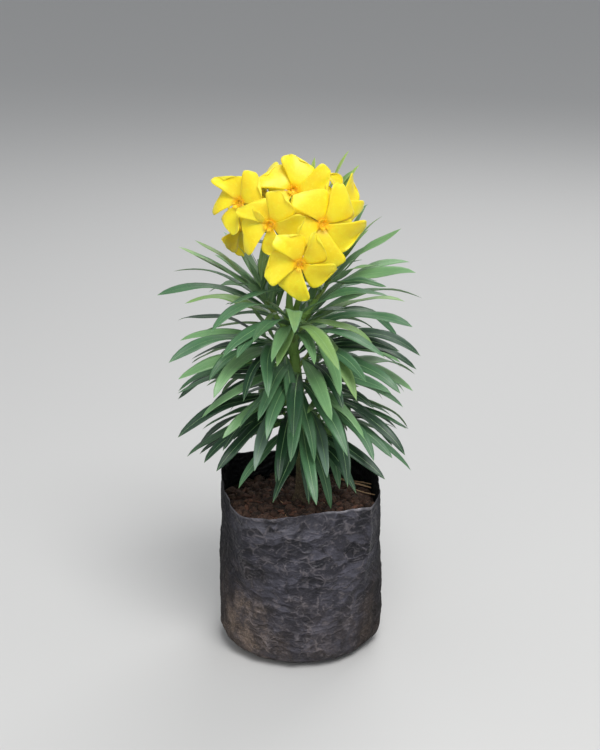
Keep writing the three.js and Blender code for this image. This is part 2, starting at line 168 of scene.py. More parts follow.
@dataclass(frozen=True)
class BagSizes:
    """The filled nursery bag."""

    radius: float = 65
    height: float = 133.5
    foot_round: float = 17
    film: float = 0.45
    corner_turn: float = 52
    corner_reach: float = 4.2


@dataclass(frozen=True)
class SoilSizes:
    """The soil's top."""

    level: float = 114
    edge: float = 112
    mound: float = 2
    flat_spot: float = 14
    lump: float = 1.1


@dataclass(frozen=True)
class BoughPlan:
    """One bough: its foot's height on the trunk, its way, and the leaves of the shoot at its tip."""

    name: str
    foot: float
    azimuth: float
    climb: float
    reach: float
    rises: Triple
    lengths: Triple
    turn: float


@dataclass(frozen=True)
class BlossomPlan:
    """One blossom: its throat, the way it faces, its petals' reach and the turn of its first petal."""

    at: Triple
    azimuth: float
    tilt: float
    reach: float
    turn: float

    def ways(self) -> tuple[Array, Array, Array]:
        """The direction out of the throat, and two across it."""
        out = heading(self.azimuth, self.tilt)
        right = unit(np.array([-out[1], out[0], 0.0]))
        return out, right, np.cross(out, right)


@dataclass(frozen=True)
class BlossomSizes:
    """What all blossoms share."""

    throat: float = 3.4
    tube: float = 15.0
    tube_foot: float = 1.3
    petals: int = 5
    petal_step: float = 72.0
    pinwheel: float = 17.0


@dataclass(frozen=True)
class BudSizes:
    """The furled buds among the blossoms."""

    count: int = 5
    length: float = 16.0
    radius: float = 2.1
    spread: float = 11.0
    height: float = 326.0


@dataclass(frozen=True)
class ShootSizes:
    """A side shoot: its radii, how steeply it stands and how long it is."""

    foot: float = 1.7
    tip: float = 1.1
    stand: float = 64.0
    length: float = 24.0


@dataclass(frozen=True)
class Clearances:
    """How far leaves stay from other shoots' leaves, from the limbs, the flowers, the soil and the bag."""

    other: float = 4.2
    limb: float = 2.6
    flower: float = 6.2
    soil: float = 7
    bag: float = 9


@dataclass(frozen=True)
class TierSizes:
    """The tiers of side shoots up the trunk, and half of the sector that each shoot keeps to."""

    count: int = 5
    lowest: float = 165.0
    step: float = 21.0
    half_sector: float = 66.0
    levels: int = 3


@dataclass(frozen=True)
class FanSizes:
    """How a shoot's leaves spread: from the lowest leaf to the topmost, and how far chance varies them."""

    rise: tuple[float, float] = (-12, 46)
    bend: tuple[float, float] = (40, 60)
    length: tuple[float, float] = (77, 92)
    droop: float = 13
    jitter: float = 9
    facing: float = 15
    loosening: float = 0.14
    vary_bend: float = 0.25
    vary_length: float = 0.08
    sweep: float = 16
    roll: float = 26


@dataclass(frozen=True)
class Room:
    """The room that a leaf needs.

    own_clear is the distance from its own shoot's leaves, ease the share of the usual distance from
    everything else, and tries the number of postures that are tried.
    """

    own_clear: float = 2.6
    ease: float = 1.0
    tries: int = 20


@dataclass(frozen=True)
class Seeds:
    """What the chance of each kind of thing starts from."""

    leaves: int = 3257
    finer_leaves: int = 71
    tones: int = 31
    bends: int = 57
    flakes: int = 411
    straws: int = 77
    petals: int = 909


@dataclass(frozen=True)
class AddedLeaf:
    """A leaf that the photograph shows apart from the tiers."""

    azimuth: float
    rise: float
    bend: float
    length: float


BAG = BagSizes()
SOIL = SoilSizes()
GAP = 0.3
TRUNK_FOOT = (2.0, 4.0)
BOUGH_RADIUS = (2.6, 1.8)
BOUGHS = (
    BoughPlan("left", 256, 176, 50, 21, (49, 32, 70), (89, 78, 66), 2),
    BoughPlan("right", 261, -12, 50, 31, (46, 28, 70), (84, 76, 62), 10),
    BoughPlan("back", 262, 62, 62, 47, (30, 58, 76), (80, 74, 69), -18),
)
STALK_TIP = np.array([-6.0, -7.0, 308.0])
BLOSSOMS = (
    BlossomPlan((-45, -27, 364), -122, 12, 25, 104),
    BlossomPlan((-5, -15, 371), -94, 24, 29, 74),
    BlossomPlan((-22, -43, 351), -106, 2, 28, -86),
    BlossomPlan((17, -36, 350), -72, 4, 33, -31),
    BlossomPlan((0, -57, 325), -90, -6, 27, -107),
    BlossomPlan((30, -6, 362), -42, 22, 25, 88),
    BlossomPlan((-31, 8, 369), 158, 44, 25, 60),
    BlossomPlan((-46, 10, 338), 164, 4, 25, 20),
    BlossomPlan((-18, 34, 350), 112, 16, 26, 84),
)
BLOSSOM = BlossomSizes()
BUDS = BudSizes()
SHOOT = ShootSizes()
CLEAR = Clearances()
TIERS = TierSizes()
TIER_LEAVES = ((-46.0, 0.0, 46.0), (-23.0, 23.0))
TIER_NAMES = ("lowest", "low", "middle", "upper", "top")
FAN = FanSizes()
MAIN_ROOM = Room()
ARCH_ROOM = Room(1.7, 0.52, 60)
SPIRE_ROOM = Room(1.2, 0.45, 80)
FINE_ROOM = Room(1.7, 0.52, 14)
TIP_LEVEL = 4
ADDED_LEVEL = 5
ARCHES = (AddedLeaf(-35.0, -10.0, 50.0, 98.0), AddedLeaf(-140.0, 40.0, 170.0, 34.0))
SPIRES = (
    AddedLeaf(60.0, 84.0, 10.0, 70.0),
    AddedLeaf(20.0, 76.0, 14.0, 74.0),
    AddedLeaf(0.0, 58.0, 14.0, 70.0),
    AddedLeaf(120.0, 74.0, 14.0, 66.0),
)
SIDES = {-90: "front", -30: "front_right", 30: "back_right", 90: "back", 150: "back_left", 210: "front_left"}
SEEDS = Seeds()


# The trunk and the lines of the limbs


class Skeleton:
    """The trunk, the boughs and the flower stalk as lines with radii, exactly where the solids have them."""

    def __init__(self) -> None:
        """Lays out every limb's line."""
        foot = np.array([*TRUNK_FOOT, SOIL.level + SOIL.mound + GAP])
        fork = np.array([-8.0, 0.0, 270.0])
        self.fork = fork
        second = lerp(foot, fork, 0.35) + [3.0, 2.0, 0.0]
        third = lerp(foot, fork, 0.7) + [2.1, 0.0, 0.0]
        self.trunk = LimbLine([foot, second, third, fork])
        middle = lerp(fork, STALK_TIP, 0.5) + [-1, 0.5, 0]
        self.stalk = LimbLine([fork + [0, 0, GAP], middle, STALK_TIP])
        self.boughs = {plan.name: self._bough(plan) for plan in BOUGHS}

    @staticmethod
    def trunk_radius(share: float) -> float:
        """The trunk's radius with its root flare."""
        return lerp(5.4, 3.7, share) + 3.4 * math.exp(-share * 28)

    @staticmethod
    def stalk_radius(share: float) -> float:
        """The flower stalk's radius."""
        return lerp(3.4, 1.9, min(1.0, share * 1.6))

    def trunk_at(self, height: float) -> tuple[Array, float]:
        """Finds the trunk at a height.

        Args:
            height: The height in millimetres.

        Returns:
            Its middle there, and the share of its length.
        """
        low, high = 0.0, 1.0
        for _ in range(24):
            middle = (low + high) / 2
            if self.trunk.at(middle)[2] < height:
                low = middle
            else:
                high = middle
        return self.trunk.at(low), low

    @staticmethod
    def bough_radius(share: float) -> float:
        """A bough's radius."""
        return lerp(*BOUGH_RADIUS, share)

    def _bough(self, plan: BoughPlan) -> LimbLine:
        """The line of one bough, which turns up a little towards its tip."""
        start, _ = self.trunk_at(plan.foot)
        tip = start + heading(plan.azimuth, plan.climb) * plan.reach
        middle = (start + tip) / 2 + heading(plan.azimuth, 0) * plan.reach * 0.07
        return LimbLine([start, middle, tip])


# Growth, by the source's rule


@dataclass
class Posture:
    """How one leaf leaves its shoot and hangs."""

    base: Array
    azimuth: float
    rise: float
    bend: float
    sweep: float
    roll: float
    length: float

    def line(self, stations: int) -> tuple[Array, Array, Array, Array]:
        """Walks along the leaf.

        Args:
            stations: The number of places along it.

        Returns:
            The places, the sideways directions, the directions out of its face, and the shares.
        """
        last = stations - 1
        share = np.arange(stations) / last
        along = heading(self.azimuth + self.sweep * share, self.rise - self.bend * share**1.3)
        ahead = share[:-1] + 0.5 / last
        steps = heading(self.azimuth + self.sweep * ahead, self.rise - self.bend * ahead**1.3)
        steps = steps * self.length / last
        place = self.base + np.concatenate([np.zeros((1, 3)), np.cumsum(steps, axis=0)])
        level = unit(np.stack([-along[:, 1], along[:, 0], 0 * share], axis=-1))
        turn = np.radians(self.roll * share)[:, None]
        side = level * np.cos(turn) + np.cross(along, level) * np.sin(turn)
        return place, side, np.cross(along, side), share

    def half_width(self, share: Array) -> Array:
        """Half of the leaf's width: a narrow stalk, widest past the middle, and a pointed tip."""
        widest = self.length * 0.066
        body = widest * np.maximum(np.sin(np.pi * share**1.1), 0) ** 0.65
        return np.where(share >= 1, 0.0, np.maximum(1.3 * (1 - share), body))


@dataclass
class Wish:
    """A leaf that a shoot would like to bear."""

    base: Array
    azimuth: float
    rise: float
    bend: float
    length: float
    level: float = 0


@dataclass
class Shoot:
    """A shoot with its stem, the leaves that it would like to bear and the space it keeps to."""

    name: str
    foot: Array
    tip: Array
    wishes: list[Wish]
    in_space: Callable[[Array], Array]
    azimuth: float
    tier: int


@dataclass
class Leaf:
    """A leaf that found room."""

    posture: Posture
    shoot: Shoot
    level: float


@dataclass
class Growth:
    """Grows every leaf by the rule, and remembers which places are taken."""

    skeleton: Skeleton
    places: Array = field(default_factory=lambda: np.zeros((40000, 3)))
    clears: Array = field(default_factory=lambda: np.zeros(40000))
    owners: Array = field(default_factory=lambda: np.zeros(40000, int))
    count: int = 0
    search: float = 12
    names: dict[str, int] = field(default_factory=dict)
    leaves: list[Leaf] = field(default_factory=list)

    def owner(self, name: str) -> int:
        """The number that stands for a holder's name."""
        return self.names.setdefault(name, len(self.names))

    def hold(self, points: Array, clear: float, owner: str) -> None:
        """Takes places for a holder, from which leaves keep their distance."""
        points = np.atleast_2d(points)
        end = self.count + len(points)
        self.places[self.count : end] = points
        self.clears[self.count : end] = clear
        self.owners[self.count : end] = self.owner(owner)
        self.count = end

    def hold_limbs_and_blossoms(self) -> None:
        """Takes the places of the trunk, the stalk, the boughs and the blossoms."""
        bones = self.skeleton
        for i in range(51):
            self.hold(bones.trunk.at(i / 50), bones.trunk_radius(i / 50) + CLEAR.limb, "trunk")
        for i in range(13):
            self.hold(bones.stalk.at(i / 12), bones.stalk_radius(i / 12) + CLEAR.limb, "limbs")
        for plan in BOUGHS:
            for i in range(10):
                self.hold(bones.boughs[plan.name].at(i / 12), BOUGH_RADIUS[0] + CLEAR.limb * 0.8, "limbs")
        for plan in BLOSSOMS:
            out, _, _ = plan.ways()
            throat = np.array(plan.at, float)
            for i in range(4):
                self.hold(throat - out * 5 * i, CLEAR.flower, "limbs")
            for k in range(BLOSSOM.petals):
                place, side = petal_line(plan, k, np.array([0.3, 0.62, 0.86, 1.0]))
                for across in (-7, 0, 7):
                    self.hold(place + side * across, CLEAR.flower, "limbs")
            foot = throat - out * BLOSSOM.tube
            for i in range(6):
                self.hold(STALK_TIP + (foot - STALK_TIP) * i / 6, CLEAR.flower * 0.8, "limbs")

    def fits(self, tests: Array, root: Array, shoot: Shoot, room: Room) -> bool:
        """Whether a leaf keeps to its own space and clear of everything else.

        Args:
            tests: The places on the leaf that are tested.
            root: Which of them lie at the leaf's root.
            shoot: The shoot that bears the leaf.
            room: The room that the leaf needs.

        Returns:
            True where the leaf fits.
        """
        if tests[:, 2].min() < SOIL.level + CLEAR.soil:
            return False
        outward = np.hypot(tests[:, 0], tests[:, 1])
        if np.any((outward > BAG.radius - CLEAR.bag) & (tests[:, 2] < BAG.height + CLEAR.bag)):
            return False
        if not np.all(shoot.in_space(tests[~root])):
            return False
        places = self.places[: self.count]
        low, high = tests.min(axis=0) - self.search, tests.max(axis=0) + self.search
        near = np.all((places > low) & (places < high), axis=1)
        places = places[near]
        clears, owners = self.clears[: self.count][near], self.owners[: self.count][near]
        own = owners == self.owner(shoot.name)
        clear = np.where(own, room.own_clear, clears * room.ease)
        apart = ((tests[:, None, :] - places[None]) ** 2).sum(axis=-1)
        blocked = apart <= clear**2
        blocked[root] &= ~(own | (owners == self.owner("trunk")))
        return not blocked.any()

    def grow_leaf(self, wish: Wish, shoot: Shoot, chance: Chance, room: Room) -> None:
        """Tries a few postures for a wished leaf and keeps the first that fits, if any does.

        Args:
            wish: The wished leaf.
            shoot: The shoot that bears it.
            chance: The seeded numbers.
            room: The room that the leaf needs.
        """
        from_front = math.radians(wish.azimuth - FRONT)
        facing = FAN.facing * (math.sin(from_front) + 0.8 * math.sin(2 * from_front))
        for attempt in range(room.tries):
            loose = 1 + attempt * FAN.loosening
            azimuth = wish.azimuth + chance.spread() * FAN.jitter * loose
            rise = wish.rise + chance.spread() * FAN.jitter * loose
            bend = wish.bend * (1 + chance.spread() * FAN.vary_bend)
            sweep, roll = chance.spread() * FAN.sweep, facing + chance.spread() * FAN.roll
            length = wish.length * (1 + chance.spread() * FAN.vary_length)
            posture = Posture(wish.base, azimuth, rise, bend, sweep, roll, length)
            place, side, _, share = posture.line(13)
            half = (posture.half_width(share) * 0.9)[:, None]
            tests = np.concatenate([place - side * half, place, place + side * half])
            root = np.tile(share < 0.2, 3)
            if self.fits(tests, root, shoot, room):
                self.hold(tests, CLEAR.other, shoot.name)
                self.leaves.append(Leaf(posture, shoot, wish.level))
                return

    def side_shoot(self, tier: int, azimuth: float) -> Shoot:
        """A shoot on the trunk's side: it leans out and bears levels of leaves.

        Args:
            tier: The shoot's tier, counted from the lowest.
            azimuth: The way it leans, in degrees.

        Returns:
            The shoot with its wished leaves.
        """
        axis, share = self.skeleton.trunk_at(TIERS.lowest + tier * TIERS.step)
        outward = heading(azimuth, 0)
        radius = self.skeleton.trunk_radius(share)
        foot = axis + outward * radius * 0.4
        tip = axis + outward * (radius + GAP + 1.2) + heading(azimuth, SHOOT.stand) * SHOOT.length
        wishes = []
        for level in range(1 if tier == 0 else 0, TIERS.levels):
            grade = (tier * TIERS.levels + level) / (TIERS.count * TIERS.levels - 1)
            for offset in TIER_LEAVES[level % 2]:
                off_flank = abs(math.cos(math.radians(azimuth + offset - FRONT)))
                base = lerp(foot, tip, 0.36 + 0.6 * level / (TIERS.levels - 1))
                rise = lerp(*FAN.rise, grade) - FAN.droop * off_flank
                bend, length = lerp(*FAN.bend, grade), lerp(*FAN.length, math.sqrt(grade))
                wishes.append(Wish(base, azimuth + offset, rise, bend, length, level))

        def in_space(at: Array) -> Array:
            """Whether places lie in the shoot's own sector."""
            off = np.arctan2(at[:, 1] - axis[1], at[:, 0] - axis[0]) - math.radians(azimuth)
            return np.cos(off) > math.cos(math.radians(TIERS.half_sector))

        name = f"leaves_{TIER_NAMES[tier]}_{SIDES[int(azimuth)]}"
        return Shoot(name, foot, tip, wishes, in_space, azimuth, tier)

    def crown_shoot(self, plan: BoughPlan) -> Shoot:
        """The shoot at a bough's tip, with whorls of leaves that stand steeper towards its end.

        Args:
            plan: The bough.

        Returns:
            The shoot with its wished leaves.
        """
        line = self.skeleton.boughs[plan.name]
        along = line.along(1)
        foot = line.at(1) + along * GAP
        tip = foot + along * SHOOT.length * 0.8
        wishes = []
        for level, (rise, length) in enumerate(zip(plan.rises, plan.lengths)):
            base = lerp(foot, tip, 0.24 + 0.36 * level)
            for k in range(3):
                azimuth = plan.azimuth + plan.turn + 120 * k + 60 * level
                wishes.append(Wish(base, azimuth, rise + 6, bend=22, length=length, level=level))
        floor = self.skeleton.fork[2] - 12

        def in_space(at: Array) -> Array:
            """Whether places lie above the crown's floor."""
            return at[:, 2] > floor

        name = f"leaves_of_{plan.name}_bough"
        return Shoot(name, foot, tip, wishes, in_space, plan.azimuth, TIERS.count)

    def grow(self) -> list[Shoot]:
        """Grows the leaves that the solids have.

        Returns:
            Every shoot, in the order in which they grew.
        """
        self.hold_limbs_and_blossoms()
        shoots = [self.crown_shoot(plan) for plan in BOUGHS]
        for tier in reversed(range(TIERS.count)):
            shoots += [self.side_shoot(tier, FRONT + (tier % 2) * 60 + 120 * k) for k in range(3)]
        for shoot in shoots:
            for i in range(7):
                self.hold(shoot.foot + (shoot.tip - shoot.foot) * i / 6, 4, shoot.name)
        chance = Chance(SEEDS.leaves)
        for shoot in shoots:
            for wish in shoot.wishes:
                self.grow_leaf(wish, shoot, chance, MAIN_ROOM)
        return shoots

    def grow_finer(self, shoots: list[Shoot]) -> None:
        """Carries the rule on to the leaves between the levels and the young ones at each shoot's tip.

        Args:
            shoots: Every shoot, in the order in which they grew.
        """
        chance = Chance(SEEDS.finer_leaves)
        front = next(shoot for shoot in shoots if shoot.name == "leaves_top_front")
        for added in ARCHES:
            base = self.skeleton.fork + heading(added.azimuth, 0) * 3.4 + [0, 0, 1.5]
            wish = Wish(base, added.azimuth, added.rise, added.bend, added.length, ADDED_LEVEL)
            self.grow_leaf(wish, front, chance, ARCH_ROOM)
        back = next(shoot for shoot in shoots if shoot.name == "leaves_of_back_bough")
        for added in SPIRES:
            wish = Wish(back.tip, added.azimuth, added.rise, added.bend, added.length, ADDED_LEVEL)
            self.grow_leaf(wish, back, chance, SPIRE_ROOM)
        for wishes in (self.between_wishes, self.tip_wishes):
            for shoot in shoots:
                for wish in wishes(shoot):
                    self.grow_leaf(wish, shoot, chance, FINE_ROOM)

    @staticmethod
    def between_wishes(shoot: Shoot) -> list[Wish]:
        """The leaves between the main ones that a shoot would like to bear."""
        main = shoot.wishes
        wishes = []
        for i, wish in enumerate(main):
            if i % 2 == shoot.tier % 2 and shoot.tier < TIERS.count:
                continue
            base = (wish.base + main[(i + 1) % len(main)].base) / 2
            bend, length = wish.bend * 1.1, wish.length * 0.84
            wishes.append(Wish(base, wish.azimuth + 15, wish.rise - 9, bend, length, wish.level))
        return wishes

    @staticmethod
    def tip_wishes(shoot: Shoot) -> list[Wish]:
        """The short young leaves that a shoot would like to bear round its tip."""
        rise = min(80.0, max(wish.rise for wish in shoot.wishes) + 24)
        wishes = []
        for k in range(3):
            base, azimuth = lerp(shoot.foot, shoot.tip, 0.93 + 0.02 * k), shoot.azimuth + 120 * k + 40
            wishes.append(Wish(base, azimuth, rise, bend=26, length=34 + 5 * k, level=TIP_LEVEL))
        return wishes


def petal_line(plan: BlossomPlan, k: int, share: Array) -> tuple[Array, Array]:
    """Walks along the middle of one petal.

    Args:
        plan: The blossom.
        k: The petal's number.
        share: The shares of its reach.

    Returns:
        The places and the sideways directions.
    """
    out, right, up = plan.ways()
    turn = np.radians(plan.turn + BLOSSOM.petal_step * k + BLOSSOM.pinwheel * share**2.5)[:, None]
    away = right * np.cos(turn) + up * np.sin(turn)
    side = unit(np.cross(out, away) + out * 0.2)
    reach = (BLOSSOM.throat * 0.4 * (1 - share) + plan.reach * share)[:, None]
    rise = (3 * np.sin(np.pi * 0.8 * share) - 2.4 * share)[:, None]
    return np.array(plan.at, float) + away * reach + out * rise, side


# Node trees


class Net:
    """The nodes of a shader or Geometry Nodes tree, which it adds and links."""

    def __init__(self, tree: NodeTree) -> None:
        """Takes the tree to work on."""
        self.tree = tree
        self.column = 0

    def add(self, kind: str, settings: dict[str, object] | None = None, **inputs: object) -> Node:
        """Adds a node.

        Args:
            kind: The node's type.
            settings: Its own settings by name.
            inputs: Values or sockets for its inputs; an underscore stands for a space.

        Returns:
            The node.
        """
        node = self.tree.nodes.new(kind)
        node.location = (self.column * 190, -(self.column % 3) * 160)
        self.column += 1
        for name, value in (settings or {}).items():
            setattr(node, name, value)
        for name, value in inputs.items():
            self.feed(node, name.replace("_", " "), value)
        return node

    def feed(self, node: Node, name: str | int, value: object) -> None:
        """Sets or links one input of a node, by its name or number."""
        socket = node.inputs[name]
        if isinstance(value, Socket):
            self.tree.links.new(value, socket)
        else:
            socket.default_value = value

    def math(self, operation: str, first: object, second: object = None, third: object = None) -> Socket:
        """The result of a sum on numbers or sockets."""
        node = self.add("ShaderNodeMath", {"operation": operation})
        for i, value in enumerate((first, second, third)):
            if value is not None:
                self.feed(node, i, value)
        return node.outputs[0]

    def plus(self, first: object, second: object) -> Socket:
        """The sum of two values."""
        return self.math("ADD", first, second)

    def less(self, first: object, second: object) -> Socket:
        """The first value less the second."""
        return self.math("SUBTRACT", first, second)

    def times(self, first: object, second: object) -> Socket:
        """The product of two values."""
        return self.math("MULTIPLY", first, second)

    def rest_of(self, share: object) -> Socket:
        """What a share leaves of one."""
        return self.math("SUBTRACT", 1.0, share)

    def mark(self, name: str) -> Socket:
        """A mark that the mesh carries at each of its corners."""
        return self.add("ShaderNodeAttribute", {"attribute_name": name}).outputs["Fac"]

    def place(self) -> Socket:
        """The place on the piece that a finish is asked about."""
        return self.add("ShaderNodeTexCoord").outputs["Object"]

    def corner(self) -> Socket:
        """The place of each corner that a geometry tree works on."""
        return self.add("GeometryNodeInputPosition").outputs[0]

    def part(self, vector: object, axis: str) -> Socket:
        """One part of a vector."""
        return self.add("ShaderNodeSeparateXYZ", Vector=vector).outputs[axis]

    def vector_math(
        self, operation: str, first: object, second: object = None, scale: object = None
    ) -> Socket:
        """The result of a sum on vectors."""
        node = self.add("ShaderNodeVectorMath", {"operation": operation})
        self.feed(node, 0, first)
        if second is not None:
            self.feed(node, 1, second)
        if scale is not None:
            self.feed(node, "Scale", scale)
        return node.outputs[0]

    def ramp(
        self, value: object, low: object, high: object, to_low: float = 0.0, to_high: float = 1.0
    ) -> Socket:
        """A smooth step of a value between two limits."""
        node = self.add("ShaderNodeMapRange", {"interpolation_type": "SMOOTHSTEP"})
        names = ("Value", "From Min", "From Max", "To Min", "To Max")
        for name, put in zip(names, (value, low, high, to_low, to_high)):
            self.feed(node, name, put)
        return node.outputs[0]

    def mix(self, share: object, first: object, second: object) -> Socket:
        """A mix of two colours."""
        node = self.add("ShaderNodeMix", {"data_type": "RGBA"})
        for name, put in zip((0, 6, 7), (share, first, second)):
            self.feed(node, name, put)
        return node.outputs[2]

    def noise(self, place: object, scale: object, detail: float = 3.0, roughness: float = 0.55) -> Socket:
        """A noise value from 0 to 1 at a place."""
        sizes = {"Scale": scale, "Detail": detail, "Roughness": roughness}
        return self.add("ShaderNodeTexNoise", Vector=place, **sizes).outputs[0]


def bent(net: Net, place: object, size: object, drawn: float, wander: float) -> Socket:
    """A place moved about by a noise and drawn out level, so that what is laid over it bends."""
    bend = net.add("ShaderNodeTexNoise", Vector=place, Scale=size, Detail=2.0).outputs["Color"]
    shift = net.vector_math("SCALE", net.vector_math("SUBTRACT", bend, (0.5, 0.5, 0.5)), scale=wander)
    return net.vector_math("MULTIPLY", net.vector_math("ADD", place, shift), (1.0, 1.0, drawn))


def folds(net: Net, place: object, size: object, drawn: float, wander: float) -> Socket:
    """How far a place lies from the nearest crease of crumpled film, from 0 on the crease.

    Args:
        net: The tree's nodes, of shaders or of geometry.
        place: The place on the film.
        size: How many creases there are to a metre.
        drawn: How much longer the creases run level than upright.
        wander: How far they bend, in metres.

    Returns:
        The distance as a share.
    """
    moved = bent(net, place, size, drawn, wander)
    return net.math("ABSOLUTE", net.less(net.noise(moved, size, 1.2, 0.4), 0.5))


def started(
    kind: str, name: str, inputs: dict[str, object], outputs: dict[str, str]
) -> tuple[Net, Sockets, Node]:
    """Starts a node group with its named sockets.

    Args:
        kind: The type of tree.
        name: The group's name.
        inputs: The default value of each input; a string names a socket type instead.
        outputs: The socket type of each output.

    Returns:
        The group's nodes, what its inputs give, and the node for its results.
    """
    tree = bpy.data.node_groups.new(name, kind)
    kinds = {float: "NodeSocketFloat", int: "NodeSocketInt", tuple: "NodeSocketColor"}
    for label, value in inputs.items():
        of_kind = value if isinstance(value, str) else kinds[type(value)]
        socket = tree.interface.new_socket(name=label, in_out="INPUT", socket_type=of_kind)
        if not isinstance(value, str):
            socket.default_value = value
    for label, of_kind in outputs.items():
        tree.interface.new_socket(name=label, in_out="OUTPUT", socket_type=of_kind)
    net = Net(tree)
    return net, net.add("NodeGroupInput").outputs, net.add("NodeGroupOutput")


class Effects:
    """The effects that several finishes share, each a shader group with named sockets, built once."""

    @staticmethod
    @cache
    def mottle() -> NodeTree:
        """Cloudy patches of a second colour, with a finer grain of a third."""
        inputs = {"Base": (0.5, 0.5, 0.5, 1.0), "Patch": (0.4, 0.4, 0.4, 1.0), "Speck": (0.6, 0.6, 0.6, 1.0)}
        inputs |= {"Patch size": 40.0, "Speck size": 400.0, "Patches": 0.6, "Specks": 0.3}
        outputs = {"Color": "NodeSocketColor", "Mask": "NodeSocketFloat"}
        net, given, result = started("ShaderNodeTree", "mottle", inputs, outputs)
        place = net.place()
        cloud = net.ramp(net.noise(place, given["Patch size"], 3.0), 0.36, 0.66)
        fine = net.ramp(net.noise(place, given["Speck size"], 2.0), 0.52, 0.72)
        share = net.times(cloud, given["Patches"])
        patched = net.mix(share, given["Base"], given["Patch"])
        share = net.times(fine, given["Specks"])
        net.feed(result, "Color", net.mix(share, patched, given["Speck"]))
        net.feed(result, "Mask", cloud)
        return net.tree

    @staticmethod
    @cache
    def grain() -> NodeTree:
        """A fine surface relief that can be drawn out along one direction."""
        inputs = {"Size": 500.0, "Stretch": 1.0}
        outputs = {"Height": "NodeSocketFloat"}
        net, given, result = started("ShaderNodeTree", "surface_grain", inputs, outputs)
        place = net.place()
        stretch = net.add("ShaderNodeCombineXYZ", X=1.0, Y=1.0, Z=given["Stretch"]).outputs[0]
        drawn = net.vector_math("MULTIPLY", place, stretch)
        broad = net.noise(drawn, given["Size"], 3.0)
        fine = net.noise(drawn, net.times(given["Size"], 4.3), 2.0)
        net.feed(result, "Height", net.plus(broad, net.times(fine, 0.4)))
        return net.tree

    @staticmethod
    @cache
    def dust() -> NodeTree:
        """A film of dry earth that lies thickest low down."""
        inputs = {"Full below": 0.01, "None above": 0.08, "Amount": 0.8, "Size": 60.0}
        net, given, result = started("ShaderNodeTree", "dust", inputs, {"Mask": "NodeSocketFloat"})
        place = net.place()
        height = net.part(place, "Z")
        cloud = net.noise(place, given["Size"], 5.0, 0.65)
        drifted = net.less(height, net.times(net.less(cloud, 0.5), 0.09))
        low = net.rest_of(net.ramp(drifted, given["Full below"], given["None above"]))
        specks = net.ramp(net.noise(place, 900.0, 2.0), 0.42, 0.66, 0.45, 1.0)
        net.feed(result, "Mask", net.times(net.times(low, specks), given["Amount"]))
        return net.tree


# Finishes


def material_with_nodes(name: str) -> tuple[bpy.types.Material, Node]:
    """A new material and its shader."""
    material = bpy.data.materials.new(name)
    material.use_nodes = True
    return material, material.node_tree.nodes["Principled BSDF"]


def colour(red: float, green: float, blue: float) -> tuple[float, float, float, float]:
    """A linear colour from screen values of 0 to 255."""
    parts = [value / 255 for value in (red, green, blue)]
    return (*(((v + 0.055) / 1.055) ** 2.4 if v > 0.0405 else v / 12.92 for v in parts), 1.0)


@dataclass(frozen=True)
class Finish:
    """A mottled finish with a fine relief: leaves, twigs, bark, petals and earth are all dressed by it."""

    name: str
    base: Triple
    patch: Triple
    speck: Triple
    patch_size: float = 150
    speck_size: float = 900
    patches: float = 0.6
    specks: float = 0.3
    roughness: float = 0.6
    relief: float = 0.3
    relief_size: float = 700
    stretch: float = 1.0
    soft: float = 0.0
    sheen: float = 0.0

    def made(self) -> bpy.types.Material:
        """The material, with its mottle and grain groups."""
        material, shader = material_with_nodes(self.name)
        net = Net(material.node_tree)
        mottle = net.add("ShaderNodeGroup", {"node_tree": Effects.mottle()})
        for name in ("Base", "Patch", "Speck"):
            net.feed(mottle, name, colour(*getattr(self, name.lower())))
        for name in ("Patch size", "Speck size", "Patches", "Specks"):
            net.feed(mottle, name, float(getattr(self, name.lower().replace(" ", "_"))))
        net.feed(shader, "Base Color", self.tinted(net, mottle.outputs["Color"]))
        mask = mottle.outputs["Mask"]
        rough = net.ramp(mask, 0.0, 1.0, self.roughness - 0.05, self.roughness + 0.07)
        net.feed(shader, "Roughness", rough)
        grain = net.add("ShaderNodeGroup", {"node_tree": Effects.grain()})
        net.feed(grain, "Size", float(self.relief_size))
        net.feed(grain, "Stretch", float(self.stretch))
        bump = net.add("ShaderNodeBump", Height=grain.outputs[0], Distance=0.0006)
        net.feed(bump, "Strength", float(self.relief))
        net.feed(shader, "Normal", bump.outputs[0])
        shader.inputs["Subsurface Weight"].default_value = self.soft
        shader.inputs["Subsurface Radius"].default_value = (0.004, 0.003, 0.001)
        shader.inputs["Subsurface Scale"].default_value = 0.4
        shader.inputs["Sheen Weight"].default_value = self.sheen
        return material

    def tinted(self, net: Net, base: Socket) -> Socket:
        """The base colour as it is; a finish with a tint of its own adds it here."""
        return base


@dataclass(frozen=True)
class PetalFinish(Finish):
    """A petal: its own colour, deepening to gold towards the throat."""

    gold: Triple = (254, 200, 14)

    def tinted(self, net: Net, base: Socket) -> Socket:
        """The base colour with gold near the throat, by the petal's own attribute."""
        depth = net.mark("from_throat")
        near = net.rest_of(net.ramp(depth, 0.05, 0.24))
        pale = net.mix(net.ramp(depth, 0.62, 0.98, 0.0, 0.4), base, colour(*self.speck))
        return net.mix(near, pale, colour(*self.gold))


